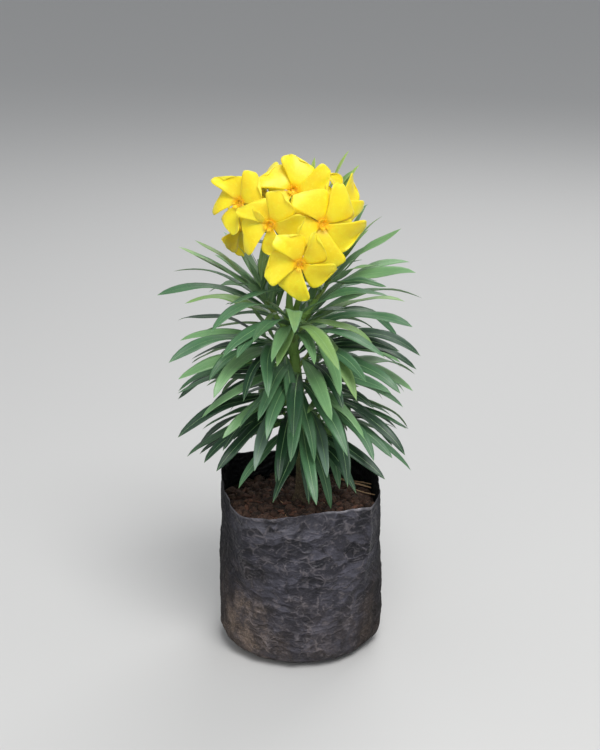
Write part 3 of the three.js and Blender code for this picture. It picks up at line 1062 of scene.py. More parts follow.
@dataclass(frozen=True)
class LeafFinish(Finish):
    """A leaf's face, with the fine parallel veins that run from its midrib to its edge."""

    patch_size: float = 45
    specks: float = 0.25
    roughness: float = 0.42
    relief: float = 0.22
    relief_size: float = 900
    vein_step: float = 1.5
    vein_slant: float = 3.4
    vein_share: float = 0.3

    def tinted(self, net: Net, base: Socket) -> Socket:
        """The base colour with lighter veins and a deeper tone beside the midrib."""
        along = net.mark("along")
        across = net.mark("across")
        wide = net.math("ABSOLUTE", across)
        run = net.less(along, net.times(wide, self.vein_slant))
        wave = net.math("ABSOLUTE", net.math("SINE", net.times(run, math.pi / self.vein_step)))
        vein = net.times(net.ramp(wave, 0.0, 0.45, 1.0, 0.0), self.vein_share)
        veined = net.mix(vein, base, colour(*self.speck))
        inner = net.ramp(wide, 0.1, 0.75, 0.45, 0.0)
        return net.mix(inner, veined, colour(*self.patch))


@dataclass(frozen=True)
class BarkFinish(Finish):
    """Bark that turns from grey-brown at the foot to the green of young wood at the top."""

    young: Triple = (124, 164, 78)
    from_height: float = 0.15
    to_height: float = 0.25

    def tinted(self, net: Net, base: Socket) -> Socket:
        """The base colour with the young green laid over it by height."""
        place = net.place()
        height = net.part(place, "Z")
        drifted = net.plus(height, net.times(net.noise(place, 90.0), 0.05))
        share = net.ramp(drifted, self.from_height, self.to_height, 0.0, 0.9)
        return net.mix(share, base, colour(*self.young))


@dataclass(frozen=True)
class FilmFinish:
    """The bag's blue-black film: crease lines of whitened film with painted highlights, scuffs, dried earth,
    painted shade on its sides and inside, and a painted sheen band.
    """

    name: str = "black_film"
    base: Triple = (48, 47, 54)
    dark: Triple = (24, 24, 29)
    bleached: Triple = (79, 78, 88)
    # Crease strokes: partly stress-whitened film, partly painted highlights along the crease ridges.
    crease: Triple = (116, 110, 113)
    scratch: Triple = (150, 132, 120)
    # Painted sheen: the lighter band below the front rim stands in for reflected sky.
    faded: Triple = (96, 95, 104)
    worn: Triple = (168, 165, 172)
    # Painted shade: near-black for the bag's inner face and its shaded sides.
    inner: Triple = (17, 17, 20)
    earth: Triple = (118, 103, 92)

    def made(self) -> bpy.types.Material:
        """The film's material."""
        material, shader = material_with_nodes(self.name)
        net = Net(material.node_tree)
        place = net.place()
        lines, height = self.creases(net, place)
        cloud = net.noise(net.vector_math("MULTIPLY", place, (1.0, 1.0, 1.7)), 52.0, 4.0, 0.65)
        tone, edge = self.facets(net, place)
        off = net.less(net.ramp(tone, 0.0, 1.0, 0.22, 0.78), cloud)
        cloud = net.plus(cloud, net.times(net.ramp(edge, 0.0, 0.16, 0.0, 0.5), off))
        # The side mark carries painted shade: the bag's sides are darkened.
        side = net.mark("side")
        toned = self.toned(net, cloud, side)
        # The crease strokes are partly whitened film and partly painted highlights.
        lines = self.strokes(net, place, net.times(lines, 0.42), edge, side)
        dust = net.add("ShaderNodeGroup", {"node_tree": Effects.dust()})
        for name, put in (("Full below", 0.0), ("None above", 0.085), ("Amount", 0.9), ("Size", 30.0)):
            net.feed(dust, name, put)
        dusty = net.times(dust.outputs["Mask"], net.mark("dusty"))
        smear = net.noise(net.vector_math("MULTIPLY", place, (1.0, 1.0, 0.55)), 85.0, 3.0)
        dusty = net.times(dusty, net.ramp(smear, 0.4, 0.62, 0.45, 1.2))
        dusted = net.mix(dusty, toned, colour(*self.earth))
        lines = net.times(lines, net.math("MULTIPLY_ADD", dusty, 0.9, 1.0))
        stroke = net.mix(dusty, colour(*self.crease), colour(*self.scratch))
        creased = net.mix(lines, dusted, stroke)
        # Painted shade: the inner face of the wall is near-black.
        lined = net.mix(net.mark("inside"), creased, colour(*self.inner))
        patchy = net.ramp(net.noise(place, 42.0, 3.0), 0.4, 0.62, 0.15, 0.95)
        chafed = net.times(net.mark("worn"), patchy)
        net.feed(shader, "Base Color", net.mix(chafed, lined, colour(*self.worn)))
        rough = net.ramp(cloud, 0.3, 0.7, 0.36, 0.48)
        rough = net.plus(rough, net.times(dust.outputs["Mask"], 0.35))
        net.feed(shader, "Roughness", net.plus(rough, net.ramp(side, 0.0, 0.75, 0.0, 0.45)))
        grain = net.add("ShaderNodeGroup", {"node_tree": Effects.grain()}, Size=520.0, Stretch=1.0)
        relief = net.plus(height, net.times(grain.outputs[0], 0.12))
        relief = net.less(relief, net.ramp(edge, 0.0, 0.3, 0.0, 1.4))
        bump = net.add("ShaderNodeBump", Height=relief, Strength=0.46, Distance=0.0015)
        net.feed(shader, "Normal", bump.outputs[0])
        shader.inputs["Specular IOR Level"].default_value = 0.22
        return material

    def toned(self, net: Net, cloud: Socket, side: Socket) -> Socket:
        """The clean film's colour: cloudy tones, painted shade on the sides and a painted sheen band below
        the rim.
        """
        deep, pale = net.ramp(cloud, 0.3, 0.5, 0.9, 0.0), net.ramp(cloud, 0.5, 0.7, 0.0, 0.9)
        toned = net.mix(deep, colour(*self.base), colour(*self.dark))
        toned = net.mix(pale, toned, colour(*self.bleached))
        # Painted shade: the sides are darkened nearly to black.
        toned = net.mix(net.times(side, 0.95), toned, colour(*self.inner))
        # Painted sheen: a lighter band below the front rim.
        band = net.times(net.mark("faded"), net.ramp(cloud, 0.34, 0.6))
        return net.mix(band, toned, colour(*self.faded))

    @staticmethod
    def strokes(net: Net, place: Socket, lines: Socket, edge: Socket, side: Socket) -> Socket:
        """The crease strokes with the facets' rims, partly whitened film and partly painted highlights, both
        fainter in the painted shade of the sides.
        """
        torn = net.ramp(net.noise(place, 120.0, 3.0), 0.49, 0.62)
        # The facets' rims: partly whitened film, partly painted highlights.
        rims = net.times(net.rest_of(net.ramp(edge, 0.0, 0.1)), torn)
        lines = net.math("MAXIMUM", lines, net.times(rims, 0.5))
        # Painted shade: the strokes fade where the sides are shaded.
        return net.times(lines, net.ramp(side, 0.0, 0.8, 1.0, 0.35))

    @staticmethod
    def facets(net: Net, place: Socket) -> tuple[Socket, Socket]:
        """The bent facets of crumpled film.

        Args:
            net: The material's nodes.
            place: The place on the film.

        Returns:
            A tone for each facet, and how far a place lies from the facet's edge.
        """
        moved = bent(net, place, 38.0, 1.9, 0.03)
        cells = net.add("ShaderNodeTexVoronoi", {"feature": "F1"}, Vector=moved, Scale=72.0)
        border = net.add("ShaderNodeTexVoronoi", {"feature": "DISTANCE_TO_EDGE"}, Vector=moved, Scale=72.0)
        tone = net.part(cells.outputs["Color"], "X")
        return tone, border.outputs["Distance"]

    @staticmethod
    def creases(net: Net, place: Socket) -> tuple[Socket, Socket]:
        """The short curved crease strokes of handled film: partly whitened film, partly painted highlights.

        Args:
            net: The material's nodes.
            place: The place on the film.

        Returns:
            How strongly a stroke shows, and the relief's height.
        """
        total, height = None, None
        layers = ((60.0, 2.2, 0.05, 0.8), (110.0, 1.7, 0.06, 1.0), (190.0, 2.2, 0.065, 0.5))
        for size, drawn, wide, weight in layers:
            apart = folds(net, place, size, drawn, 1.1 / size)
            edge = net.rest_of(net.ramp(apart, 0.0, wide))
            seen = net.times(edge, net.ramp(net.noise(place, size * 1.3, 2.0), 0.5, 0.64))
            line = net.times(seen, weight)
            total = line if total is None else net.math("MAXIMUM", total, line)
            ridge = net.times(net.ramp(apart, 0.0, 0.22, 1.0, 0.0), weight)
            height = ridge if height is None else net.plus(height, ridge)
        return total, height


class Tint(Enum):
    """The tones of leaf, each with its finish."""

    DEEP = LeafFinish("leaf_deep", (34, 68, 43), (22, 49, 33), (58, 94, 62))
    MIDDLE = LeafFinish("leaf_middle", (76, 117, 78), (56, 95, 64), (102, 144, 100))
    FRESH = LeafFinish("leaf_fresh", (116, 157, 104), (94, 136, 90), (140, 178, 122))
    YOUNG = LeafFinish("leaf_young", (126, 162, 92), (106, 142, 78), (152, 186, 112))
    TENDER = LeafFinish("leaf_tender", (176, 206, 104), (158, 192, 92), (196, 220, 130))
    # Painted sheen: a greyed tone for the few leaves that show a grey sheen of reflected sky.
    PAINTED_GREY_SHEEN = LeafFinish("leaf_painted_grey_sheen", (104, 130, 112), (84, 110, 94), (128, 152, 134))


@dataclass(frozen=True)
class SprayTone:
    """The tone that one spray's leaves have in the photograph."""

    shoot: str
    lowest: float
    highest: float
    azimuth: float
    within: float
    tint: Tint

    def covers(self, leaf: Leaf) -> bool:
        """Whether a leaf belongs to the spray."""
        off = (leaf.posture.azimuth - self.azimuth + 180) % 360 - 180
        in_reach = self.lowest <= leaf.level <= self.highest and abs(off) < self.within
        return leaf.shoot.name == self.shoot and in_reach


SPRAY_TONES = (
    SprayTone("leaves_of_back_bough", ADDED_LEVEL, ADDED_LEVEL, 0, 181, Tint.TENDER),
    SprayTone("leaves_of_back_bough", 1, TIP_LEVEL, 0, 181, Tint.YOUNG),
    SprayTone("leaves_top_front", 1, TIP_LEVEL, -70, 12, Tint.YOUNG),
    SprayTone("leaves_top_front", 2, 2, -92, 8, Tint.FRESH),
    SprayTone("leaves_of_left_bough", 2, 2, 185, 20, Tint.YOUNG),
    SprayTone("leaves_of_left_bough", 0, 0, 187, 5, Tint.YOUNG),
    SprayTone("leaves_of_left_bough", 0, TIP_LEVEL, 185, 20, Tint.FRESH),
    SprayTone("leaves_of_right_bough", 0, 0, 6, 26, Tint.FRESH),
    # Painted sheen: these two sprays take the greyed tone of reflected sky.
    SprayTone("leaves_low_front_right", 0, 0, -78, 6, Tint.PAINTED_GREY_SHEEN),
    SprayTone("leaves_low_front_left", 1, 2, 250, 6, Tint.PAINTED_GREY_SHEEN),
)

# The odds of the tones in each part of the plant, as limits of luck from 0 to 1
CROWN_ODDS = ((0.6, Tint.FRESH), (1.0, Tint.MIDDLE))
CROWN_TIP_ODDS = ((0.5, Tint.YOUNG), (0.6, Tint.FRESH), (1.0, Tint.MIDDLE))
TOP_ODDS = ((0.16, Tint.YOUNG), (0.5, Tint.FRESH), (1.0, Tint.MIDDLE))
MIDDLE_ODDS = ((0.3, Tint.DEEP), (0.8, Tint.MIDDLE), (1.0, Tint.FRESH))
LOW_ODDS = ((0.5, Tint.DEEP), (1.0, Tint.MIDDLE))

LEAF_UNDERSIDE = Finish(
    "leaf_underside", (122, 154, 110), (100, 134, 94), (142, 172, 128), patch_size=60, relief_size=900
)
LEAF_MIDRIB = Finish(
    "leaf_midrib", (136, 172, 118), (114, 152, 102), (158, 190, 138),
    patch_size=80, patches=0.5, roughness=0.5, relief=0.2, relief_size=900,
)
GREEN_TWIG = Finish(
    "green_twig", (116, 140, 66), (94, 118, 54), (150, 168, 96), patch_size=160, specks=0.35, relief=0.4
)
TRUNK_BARK = BarkFinish(
    "trunk_bark", (92, 77, 55), (58, 46, 35), (150, 136, 104),
    speck_size=800, patches=0.9, specks=0.5, roughness=0.78, relief=0.9, relief_size=420, stretch=0.3,
)
GREEN_BARK = BarkFinish(
    "green_bark", (116, 142, 66), (94, 118, 56), (152, 172, 98),
    patch_size=160, specks=0.35, relief=0.4, relief_size=500, stretch=0.3,
)
DAMP_EARTH = Finish(
    "damp_earth", (60, 42, 35), (28, 19, 17), (120, 90, 72),
    speck_size=700, patches=0.9, specks=0.5, roughness=0.85, relief=0.9, relief_size=420,
)
EARTH_CRUMBS = Finish(
    "earth_crumbs", (84, 60, 49), (38, 27, 23), (146, 110, 90),
    patch_size=120, speck_size=700, patches=0.95, specks=0.4, roughness=0.85, relief=0.6,
)
BARK_FLAKES = Finish(
    "bark_flakes", (112, 74, 58), (66, 43, 36), (150, 112, 90),
    patch_size=160, speck_size=800, patches=0.9, specks=0.4, roughness=0.8, relief=0.7, relief_size=600,
)
DRY_STRAW = Finish(
    "dry_straw", (214, 176, 136), (172, 134, 98), (232, 208, 174),
    patch_size=300, specks=0.5, roughness=0.7, relief=0.4, relief_size=600,
)
YELLOW_PETAL = PetalFinish(
    "yellow_petal", (246, 220, 14), (240, 200, 4), (249, 233, 60), patch_size=70, speck_size=500,
    specks=0.4, roughness=0.5, relief=0.25, relief_size=420, soft=0.5, sheen=0.15,
)
GOLDEN_FRINGE = Finish(
    "golden_fringe", (255, 208, 26), (250, 188, 14), (255, 228, 96), patch_size=300, specks=0.4, soft=0.2
)
FLOWER_TUBE = Finish(
    "flower_tube", (214, 196, 60), (188, 178, 66), (232, 214, 96),
    patch_size=120, roughness=0.55, relief=0.25, soft=0.2,
)
FLOWER_STALK = Finish("flower_stalk_green", (120, 146, 70), (98, 122, 58), (152, 172, 100))
SEPAL = Finish("sepal_green", (124, 148, 66), (150, 96, 62), (150, 172, 96), patch_size=220)
FURLED_BUD = Finish(
    "furled_bud", (206, 196, 62), (176, 172, 62), (226, 214, 98), roughness=0.5, relief_size=600
)


# Meshes


def shares(rows: int, columns: int, low: float = 0.0) -> tuple[Array, Array]:
    """Two grids of shares for a sheet.

    Args:
        rows: The number of rows.
        columns: The number of columns.
        low: The first grid's value in the first row.

    Returns:
        A grid that grows to 1 down the rows, and one from -1 to 1 across the columns.
    """
    down = np.linspace(low, 1, rows)[:, None] * np.ones((1, columns))
    return down, np.linspace(-1, 1, columns)[None, :] * np.ones((rows, 1))


@dataclass
class Sheet:
    """Corners and faces of a mesh that is being put together, in millimetres."""

    points: list[Array] = field(default_factory=list)
    faces: list[tuple[int, ...]] = field(default_factory=list)
    edges: list[tuple[int, int]] = field(default_factory=list)
    marks: dict[str, list[Array]] = field(default_factory=dict)
    count: int = 0

    def place(self, points: Array, **marks: Array) -> int:
        """Adds points with their marks and returns the number of the first."""
        first = self.count
        self.points.append(points)
        self.count += len(points)
        for name, values in marks.items():
            self.marks.setdefault(name, []).append(np.asarray(values, float))
        return first

    def line(self, points: Array, **marks: Array) -> None:
        """Adds a chain of points joined by edges."""
        first = self.place(points, **marks)
        self.edges += [(first + i, first + i + 1) for i in range(len(points) - 1)]

    def leaf_sheet(self, grid: Array, thickness: float, **marks: Array) -> None:
        """Adds a closed thin sheet over a grid of places.

        Args:
            grid: Rows and columns of places.
            thickness: The sheet's thickness.
            marks: A value for each place of the grid.
        """
        rows, columns = grid.shape[:2]
        down = np.gradient(grid, axis=0)
        over = np.gradient(grid, axis=1)
        rise = unit(np.cross(down, over)) * thickness / 2
        marks = {name: values.reshape(-1) for name, values in marks.items()}
        top = self.place((grid + rise).reshape(-1, 3), **marks)
        low = self.place((grid - rise).reshape(-1, 3), **marks)
        for r in range(rows - 1):
            for c in range(columns - 1):
                a, b = r * columns + c, r * columns + c + 1
                d, e = a + columns, b + columns
                self.faces.append((top + a, top + d, top + e, top + b))
                self.faces.append((low + a, low + b, low + e, low + d))
        ring = list(range(columns))
        ring += [r * columns + columns - 1 for r in range(1, rows)]
        ring += [(rows - 1) * columns + c for c in range(columns - 2, -1, -1)]
        ring += [r * columns for r in range(rows - 2, 0, -1)]
        for a, b in zip(ring, ring[1:] + ring[:1]):
            self.faces.append((top + a, top + b, low + b, low + a))

    def turned(self, rings: Array, closed_ends: bool = True, **marks: Array) -> None:
        """Adds a skin over rings of places, each joined to the next.

        Args:
            rings: Rings by places by three.
            closed_ends: Whether the first and the last ring close on their middles.
            marks: A value for each place, and for the two middles.
        """
        count, around = rings.shape[:2]
        points = rings.reshape(-1, 3)
        if closed_ends:
            points = np.concatenate([points, rings[0].mean(axis=0)[None], rings[-1].mean(axis=0)[None]])
        first = self.place(points, **marks)
        for low in range(first, first + (count - 1) * around, around):
            high = low + around
            for c in range(around):
                d = (c + 1) % around
                self.faces.append((low + c, low + d, high + d, high + c))
        if closed_ends:
            last = first + (count - 1) * around
            middle = last + around
            for c in range(around):
                d = (c + 1) % around
                self.faces.append((middle, first + d, first + c))
                self.faces.append((middle + 1, last + c, last + d))

    def funnel(self, throat: Array, out: Array, right: Array, up: Array) -> None:
        """Adds the open cup of a blossom's throat, a closed thin shell."""
        turn = np.linspace(0, 2 * np.pi, 18, endpoint=False)[:, None]
        around = right * np.cos(turn) + up * np.sin(turn)
        outside = ((1.0, -6.0), (2.5, -5.0), (3.1, -2.4), (3.9, 0.3))
        inside = ((3.6, 0.5), (2.8, -1.0), (1.8, -2.2), (0.5, -2.7))
        rings = [throat + around * radius + out * height for radius, height in outside + inside]
        self.turned(np.array(rings), from_throat=np.zeros(len(rings) * len(turn) + 2))

    def object(self, name: str) -> bpy.types.Object:
        """Makes the Blender object, in metres.

        Args:
            name: The name of the object and its mesh.

        Returns:
            The object, already in the scene.
        """
        mesh = bpy.data.meshes.new(name)
        points = np.concatenate(self.points) * MM
        mesh.from_pydata(points.tolist(), self.edges, self.faces)
        for mark, values in self.marks.items():
            values = np.concatenate(values)
            kind, part = ("FLOAT_VECTOR", "vector") if values.ndim == 2 else ("FLOAT", "value")
            layer = mesh.attributes.new(mark, kind, "POINT")
            layer.data.foreach_set(part, np.ascontiguousarray(values, np.float32).ravel())
        mesh.update()
        made = bpy.data.objects.new(name, mesh)
        bpy.context.scene.collection.objects.link(made)
        return made


class Bench:
    """Turns raw meshes and node trees into finished pieces and hands them to the frame."""

    @staticmethod
    def outward(mesh: bpy.types.Mesh) -> None:
        """Turns a closed mesh's faces outwards if they point in."""
        mesh.calc_loop_triangles()
        corners = np.zeros(len(mesh.loop_triangles) * 3, np.int32)
        mesh.loop_triangles.foreach_get("vertices", corners)
        points = np.zeros(len(mesh.vertices) * 3)
        mesh.vertices.foreach_get("co", points)
        a, b, c = points.reshape(-1, 3)[corners].reshape(-1, 3, 3).transpose(1, 0, 2)
        if np.einsum("ij,ij->", a, np.cross(b, c)) < 0:
            mesh.flip_normals()

    @classmethod
    def grown(cls, source: bpy.types.Object, tree: NodeTree, **inputs: object) -> bpy.types.Object:
        """Runs a Geometry Nodes tree on an object and keeps the result as its plain mesh.

        Args:
            source: The object that carries the paths or the surface.
            tree: The tree.
            inputs: The values of its named inputs; an underscore stands for a space.

        Returns:
            The same object with its new mesh.
        """
        modifier = source.modifiers.new("growth", "NODES")
        modifier.node_group = tree
        sockets = [item for item in tree.interface.items_tree if item.in_out == "INPUT"]
        keys = {socket.name: socket.identifier for socket in sockets}
        for name, value in inputs.items():
            modifier[keys[name.replace("_", " ")]] = value
        graph = bpy.context.evaluated_depsgraph_get()
        ready = source.evaluated_get(graph)
        mesh = bpy.data.meshes.new_from_object(ready, preserve_all_data_layers=True, depsgraph=graph)
        source.modifiers.clear()
        source.data = mesh
        mesh.name = source.name
        cls.outward(mesh)
        return source

    @staticmethod
    def hand_over(
        piece: bpy.types.Object, slot: str, nodes: Iterable[str], *materials: bpy.types.Material
    ) -> None:
        """Smooths a piece, gives it its materials and body, hides the parts that it stands for, and reports
        it.

        Args:
            piece: The finished piece.
            slot: The slot of its looks; not used.
            nodes: The nodes that it stands for.
            materials: Its materials, where its tree hasn't set them.
        """
        for material in materials:
            piece.data.materials.append(material)
        piece.data.shade_smooth()
        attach(piece, "root")
        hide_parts(*nodes)
        piece.data.calc_loop_triangles()
        LOG.info("%s: %d triangles", piece.name, len(piece.data.loop_triangles))


class Trees:
    """The Geometry Nodes trees: blades, round limbs, barked limbs, crumpled film and scattered crumbs."""

    @staticmethod
    def _start(name: str, sizes: dict[str, object], *finishes: str) -> tuple[Net, Sockets, Node]:
        """Starts a tree with its geometry sockets, its sizes and the names of its finishes."""
        geometry = {"Geometry": "NodeSocketGeometry"}
        materials = {finish: "NodeSocketMaterial" for finish in finishes}
        return started("GeometryNodeTree", name, geometry | sizes | materials, geometry)

    @staticmethod
    def _named(net: Net, name: str, kind: str = "FLOAT") -> Socket:
        """A named attribute of the geometry."""
        node = net.add("GeometryNodeInputNamedAttribute", {"data_type": kind}, Name=name)
        return node.outputs["Attribute"]

    @classmethod
    def _swept(cls, net: Net, lines: object, profile: object, facing: bool) -> Socket:
        """Sweeps a profile along lines, with the radius that the lines carry.

        Args:
            net: The tree's nodes.
            lines: The lines.
            profile: The section's curve.
            facing: Whether the lines also carry the direction that the section faces.

        Returns:
            The swept mesh.
        """
        curve = net.add("GeometryNodeMeshToCurve", Mesh=lines).outputs[0]
        half = cls._named(net, "half")
        curve = net.add("GeometryNodeSetCurveRadius", Curve=curve, Radius=half).outputs[0]
        if facing:
            aim = cls._named(net, "face", "FLOAT_VECTOR")
            turned = net.add("GeometryNodeSetCurveNormal", {"mode": "FREE"}, Curve=curve, Normal=aim)
            curve = turned.outputs[0]
        node = net.add("GeometryNodeCurveToMesh", Curve=curve)
        net.feed(node, "Profile Curve", profile)
        # Where the node has a scale of its own, it no longer reads the curve's radius
        if "Scale" in node.inputs:
            net.feed(node, "Scale", half)
        net.feed(node, "Fill Caps", True)
        return node.outputs[0]

    @staticmethod
    def _stored(net: Net, curve: Socket, name: str, value: Socket) -> Socket:
        """Stores a value at each point of a curve under a name."""
        settings = {"data_type": "FLOAT", "domain": "POINT"}
        node = net.add("GeometryNodeStoreNamedAttribute", settings, Geometry=curve, Name=name, Value=value)
        return node.outputs[0]

    @staticmethod
    def _circle(net: Net, sides: Socket) -> Socket:
        """A circle of radius one, to be swept."""
        return net.add("GeometryNodeCurvePrimitiveCircle", Resolution=sides, Radius=1.0).outputs[0]

    @staticmethod
    def _end(net: Net, result: Node, made: object, material: object) -> None:
        """Ends a tree with its realized instances and its material."""
        real = net.add("GeometryNodeRealizeInstances", Geometry=made).outputs[0]
        dressed = net.add("GeometryNodeSetMaterial", Geometry=real, Material=material).outputs[0]
        net.feed(result, "Geometry", dressed)

    @classmethod
    def blades(cls) -> NodeTree:
        """Leaf blades: a folded, slightly arched section swept along each leaf's line."""
        sizes = {"Sides": 10, "Fold": 0.3, "Curl": 0.1, "Thickness": 0.05}
        net, given, result = cls._start("leaf_blades", sizes, "Upper", "Under")
        circle = cls._circle(net, given["Sides"])
        place = net.corner()
        x, y = net.part(place, "X"), net.part(place, "Y")
        wide = net.math("ABSOLUTE", y)
        fold = net.times(wide, given["Fold"])
        curl = net.times(net.math("POWER", wide, 4.0), given["Curl"])
        lift = net.less(fold, curl)
        lift = net.plus(lift, net.times(x, given["Thickness"]))
        moved = net.add("ShaderNodeCombineXYZ", X=lift, Y=y, Z=0.0).outputs[0]
        marked = cls._stored(net, circle, "under", net.math("LESS_THAN", x, -0.05))
        marked = cls._stored(net, marked, "across", y)
        profile = net.add("GeometryNodeSetPosition", Geometry=marked, Position=moved).outputs[0]
        swept = cls._swept(net, given["Geometry"], profile, True)
        real = net.add("GeometryNodeRealizeInstances", Geometry=swept).outputs[0]
        dressed = net.add("GeometryNodeSetMaterial", Geometry=real, Material=given["Upper"])
        under = net.add("GeometryNodeSetMaterial", Geometry=dressed.outputs[0], Material=given["Under"])
        net.feed(under, "Selection", net.math("GREATER_THAN", cls._named(net, "under"), 0.25))
        net.feed(result, "Geometry", under.outputs[0])
        return net.tree

    @classmethod
    def rounds(cls) -> NodeTree:
        """Round stems along lines."""
        net, given, result = cls._start("round_stems", {"Sides": 8}, "Material")
        circle = cls._circle(net, given["Sides"])
        swept = cls._swept(net, given["Geometry"], circle, False)
        cls._end(net, result, swept, given["Material"])
        return net.tree

    @classmethod
    def bark(cls) -> NodeTree:
        """Barked limbs: round stems with rings of old leaf scars and shallow furrows."""
        sizes = {"Sides": 28, "Ring spacing": 0.013, "Ring height": 0.00055, "Furrows": 0.00045}
        net, given, result = cls._start("barked_limbs", sizes, "Material")
        circle = cls._circle(net, given["Sides"])
        swept = cls._swept(net, given["Geometry"], circle, False)
        place = net.corner()
        height = net.part(place, "Z")
        drift = net.times(net.noise(place, 60.0), 0.006)
        turn = net.math("DIVIDE", net.plus(height, drift), given["Ring spacing"])
        wave = net.math("ABSOLUTE", net.math("SINE", net.times(turn, math.pi)))
        ring = net.rest_of(net.ramp(wave, 0.0, 0.3))
        scar = net.times(ring, net.ramp(net.noise(place, 200.0, 2.0), 0.3, 0.6, 0.3, 1.0))
        drawn = net.vector_math("MULTIPLY", place, (1.0, 1.0, 0.22))
        furrow = net.less(net.noise(drawn, 520.0, 3.0), 0.5)
        out = net.times(scar, given["Ring height"])
        out = net.plus(out, net.times(furrow, given["Furrows"]))
        above_soil = net.ramp(height, 0.118, 0.124)
        normal = net.add("GeometryNodeInputNormal").outputs[0]
        offset = net.vector_math("SCALE", normal, scale=net.times(out, above_soil))
        moved = net.add("GeometryNodeSetPosition", Geometry=swept, Offset=offset).outputs[0]
        cls._end(net, result, moved, given["Material"])
        return net.tree

    @classmethod
    def crumple(cls) -> NodeTree:
        """Crumpled film: both faces of the wall move in or out together along bent creases."""
        sizes = {"Broad": 0.0012, "Narrow": 0.0007, "Size": 26.0, "Floor": 0.012}
        net, given, result = cls._start("crumpled_film", sizes, "Material")
        place = net.corner()
        parts = net.add("ShaderNodeSeparateXYZ", Vector=place)
        flat = net.add("ShaderNodeCombineXYZ", X=parts.outputs["X"], Y=parts.outputs["Y"], Z=0.0).outputs[0]
        outward = net.vector_math("NORMALIZE", flat)
        total = None
        layers = ((1.0, 1.5, "Broad", 2.0), (2.3, 1.9, "Narrow", 2.0), (4.6, 1.4, "Narrow", 1.0))
        for times, drawn, depth, share in layers:
            size = net.times(given["Size"], times)
            apart = folds(net, place, size, drawn, 0.03 / times)
            dent = net.less(0.13, net.ramp(apart, 0.0, 0.3, 0.0, 0.3))
            push = net.times(net.times(dent, given[depth]), share * 2)
            total = push if total is None else net.plus(total, push)
        free = net.ramp(parts.outputs["Z"], 0.0, given["Floor"])
        total = net.times(total, free)
        offset = net.vector_math("SCALE", outward, scale=total)
        moved = net.add("GeometryNodeSetPosition", Geometry=given["Geometry"], Offset=offset)
        cls._end(net, result, moved.outputs[0], given["Material"])
        return net.tree

    @classmethod
    def crumbs(cls) -> NodeTree:
        """Crumbs of earth scattered over a surface."""
        sizes = {"Density": 60000.0, "Smallest": 0.0005, "Largest": 0.0024, "Seed": 11}
        net, given, result = cls._start("scattered_crumbs", sizes, "Material")
        seed = given["Seed"]
        spread = net.add("GeometryNodeDistributePointsOnFaces", Mesh=given["Geometry"], Seed=seed)
        net.feed(spread, "Density", given["Density"])
        ball = net.add("GeometryNodeMeshIcoSphere", Radius=1.0, Subdivisions=2).outputs["Mesh"]
        place = net.corner()
        rough = net.add("ShaderNodeTexNoise", Vector=place, Scale=1.3, Detail=2.0).outputs["Color"]
        off = net.vector_math("SCALE", net.vector_math("SUBTRACT", rough, (0.5, 0.5, 0.5)), scale=1.1)
        lump = net.add("GeometryNodeSetPosition", Geometry=ball, Offset=off).outputs[0]
        share = net.add("FunctionNodeRandomValue", {"data_type": "FLOAT"}, Seed=seed).outputs[1]
        span = net.less(given["Largest"], given["Smallest"])
        size = net.math("MULTIPLY_ADD", net.math("POWER", share, 2.6), span, given["Smallest"])
        turn = net.add("FunctionNodeRandomValue", {"data_type": "FLOAT_VECTOR"}, Seed=7)
        net.feed(turn, 1, (FULL_TURN, FULL_TURN, FULL_TURN))
        placed = net.add("GeometryNodeInstanceOnPoints", Points=spread.outputs[0], Instance=lump)
        net.feed(placed, "Rotation", turn.outputs[0])
        net.feed(placed, "Scale", size)
        cls._end(net, result, placed.outputs[0], given["Material"])
        return net.tree


# The bag and the soil


def wall_wave(angle: Array, height: Array) -> Array:
    """How far the filled bag's wall stands in or out. Its mouth is squarer than its belly."""
    opened = smoothstep(height, BAG.height * 0.3, BAG.height)
    folds = 0.8 * np.sin(3 * angle + 0.6) + 0.5 * np.sin(5 * angle + 2.1 + height / 40)
    mouth = BAG.corner_reach * opened * np.cos(4 * (angle - math.radians(BAG.corner_turn)))
    return folds * np.minimum(1, height / BAG.foot_round) + mouth


def rim_wave(angle: Array) -> Array:
    """How far the mouth's edge stands above or below the bag's mean height."""
    return 4.6 * np.sin(angle) + 1.5 * np.sin(2 * angle + 2.38) + 1.9 * np.sin(3 * angle - 0.57) + 0.6


def soft_noise(x: Array, y: Array, seed: float) -> Array:
    """A cheap wavy noise over a plane, about -1 to 1."""
    total = np.zeros_like(x, float)
    for i, (sx, sy) in enumerate(((1.0, 0.37), (-0.55, 0.91), (0.33, -1.21), (1.47, 0.83), (-1.13, 1.61))):
        bend = 1.3 * np.sin(0.7 * sy * x - 0.6 * sx * y + seed * i)
        total += np.sin(sx * x + sy * y + seed * (i + 1.7) + bend)
    return total / 3


def corner_folds(angle: Array, height: Array) -> Array:
    """How far the crisp upright folds stand out, where the empty bag was creased flat."""
    total = np.zeros_like(angle, float)
    for turn, depth, lean in ((-128, 1.6, -0.05), (-42, 4.4, 0.02), (52, 1.4, 0.03), (142, 1.5, -0.02)):
        centre = math.radians(turn) + lean * (BAG.height - height) / BAG.height
        off = np.angle(np.exp(1j * (angle - centre)))
        ridge = np.exp(-np.abs(off) / 0.085) - 0.3 * np.exp(-((off + 0.2) ** 2) / 0.008)
        total += depth * ridge * smoothstep(height, BAG.height * 0.2, BAG.height * 0.98)
    return total


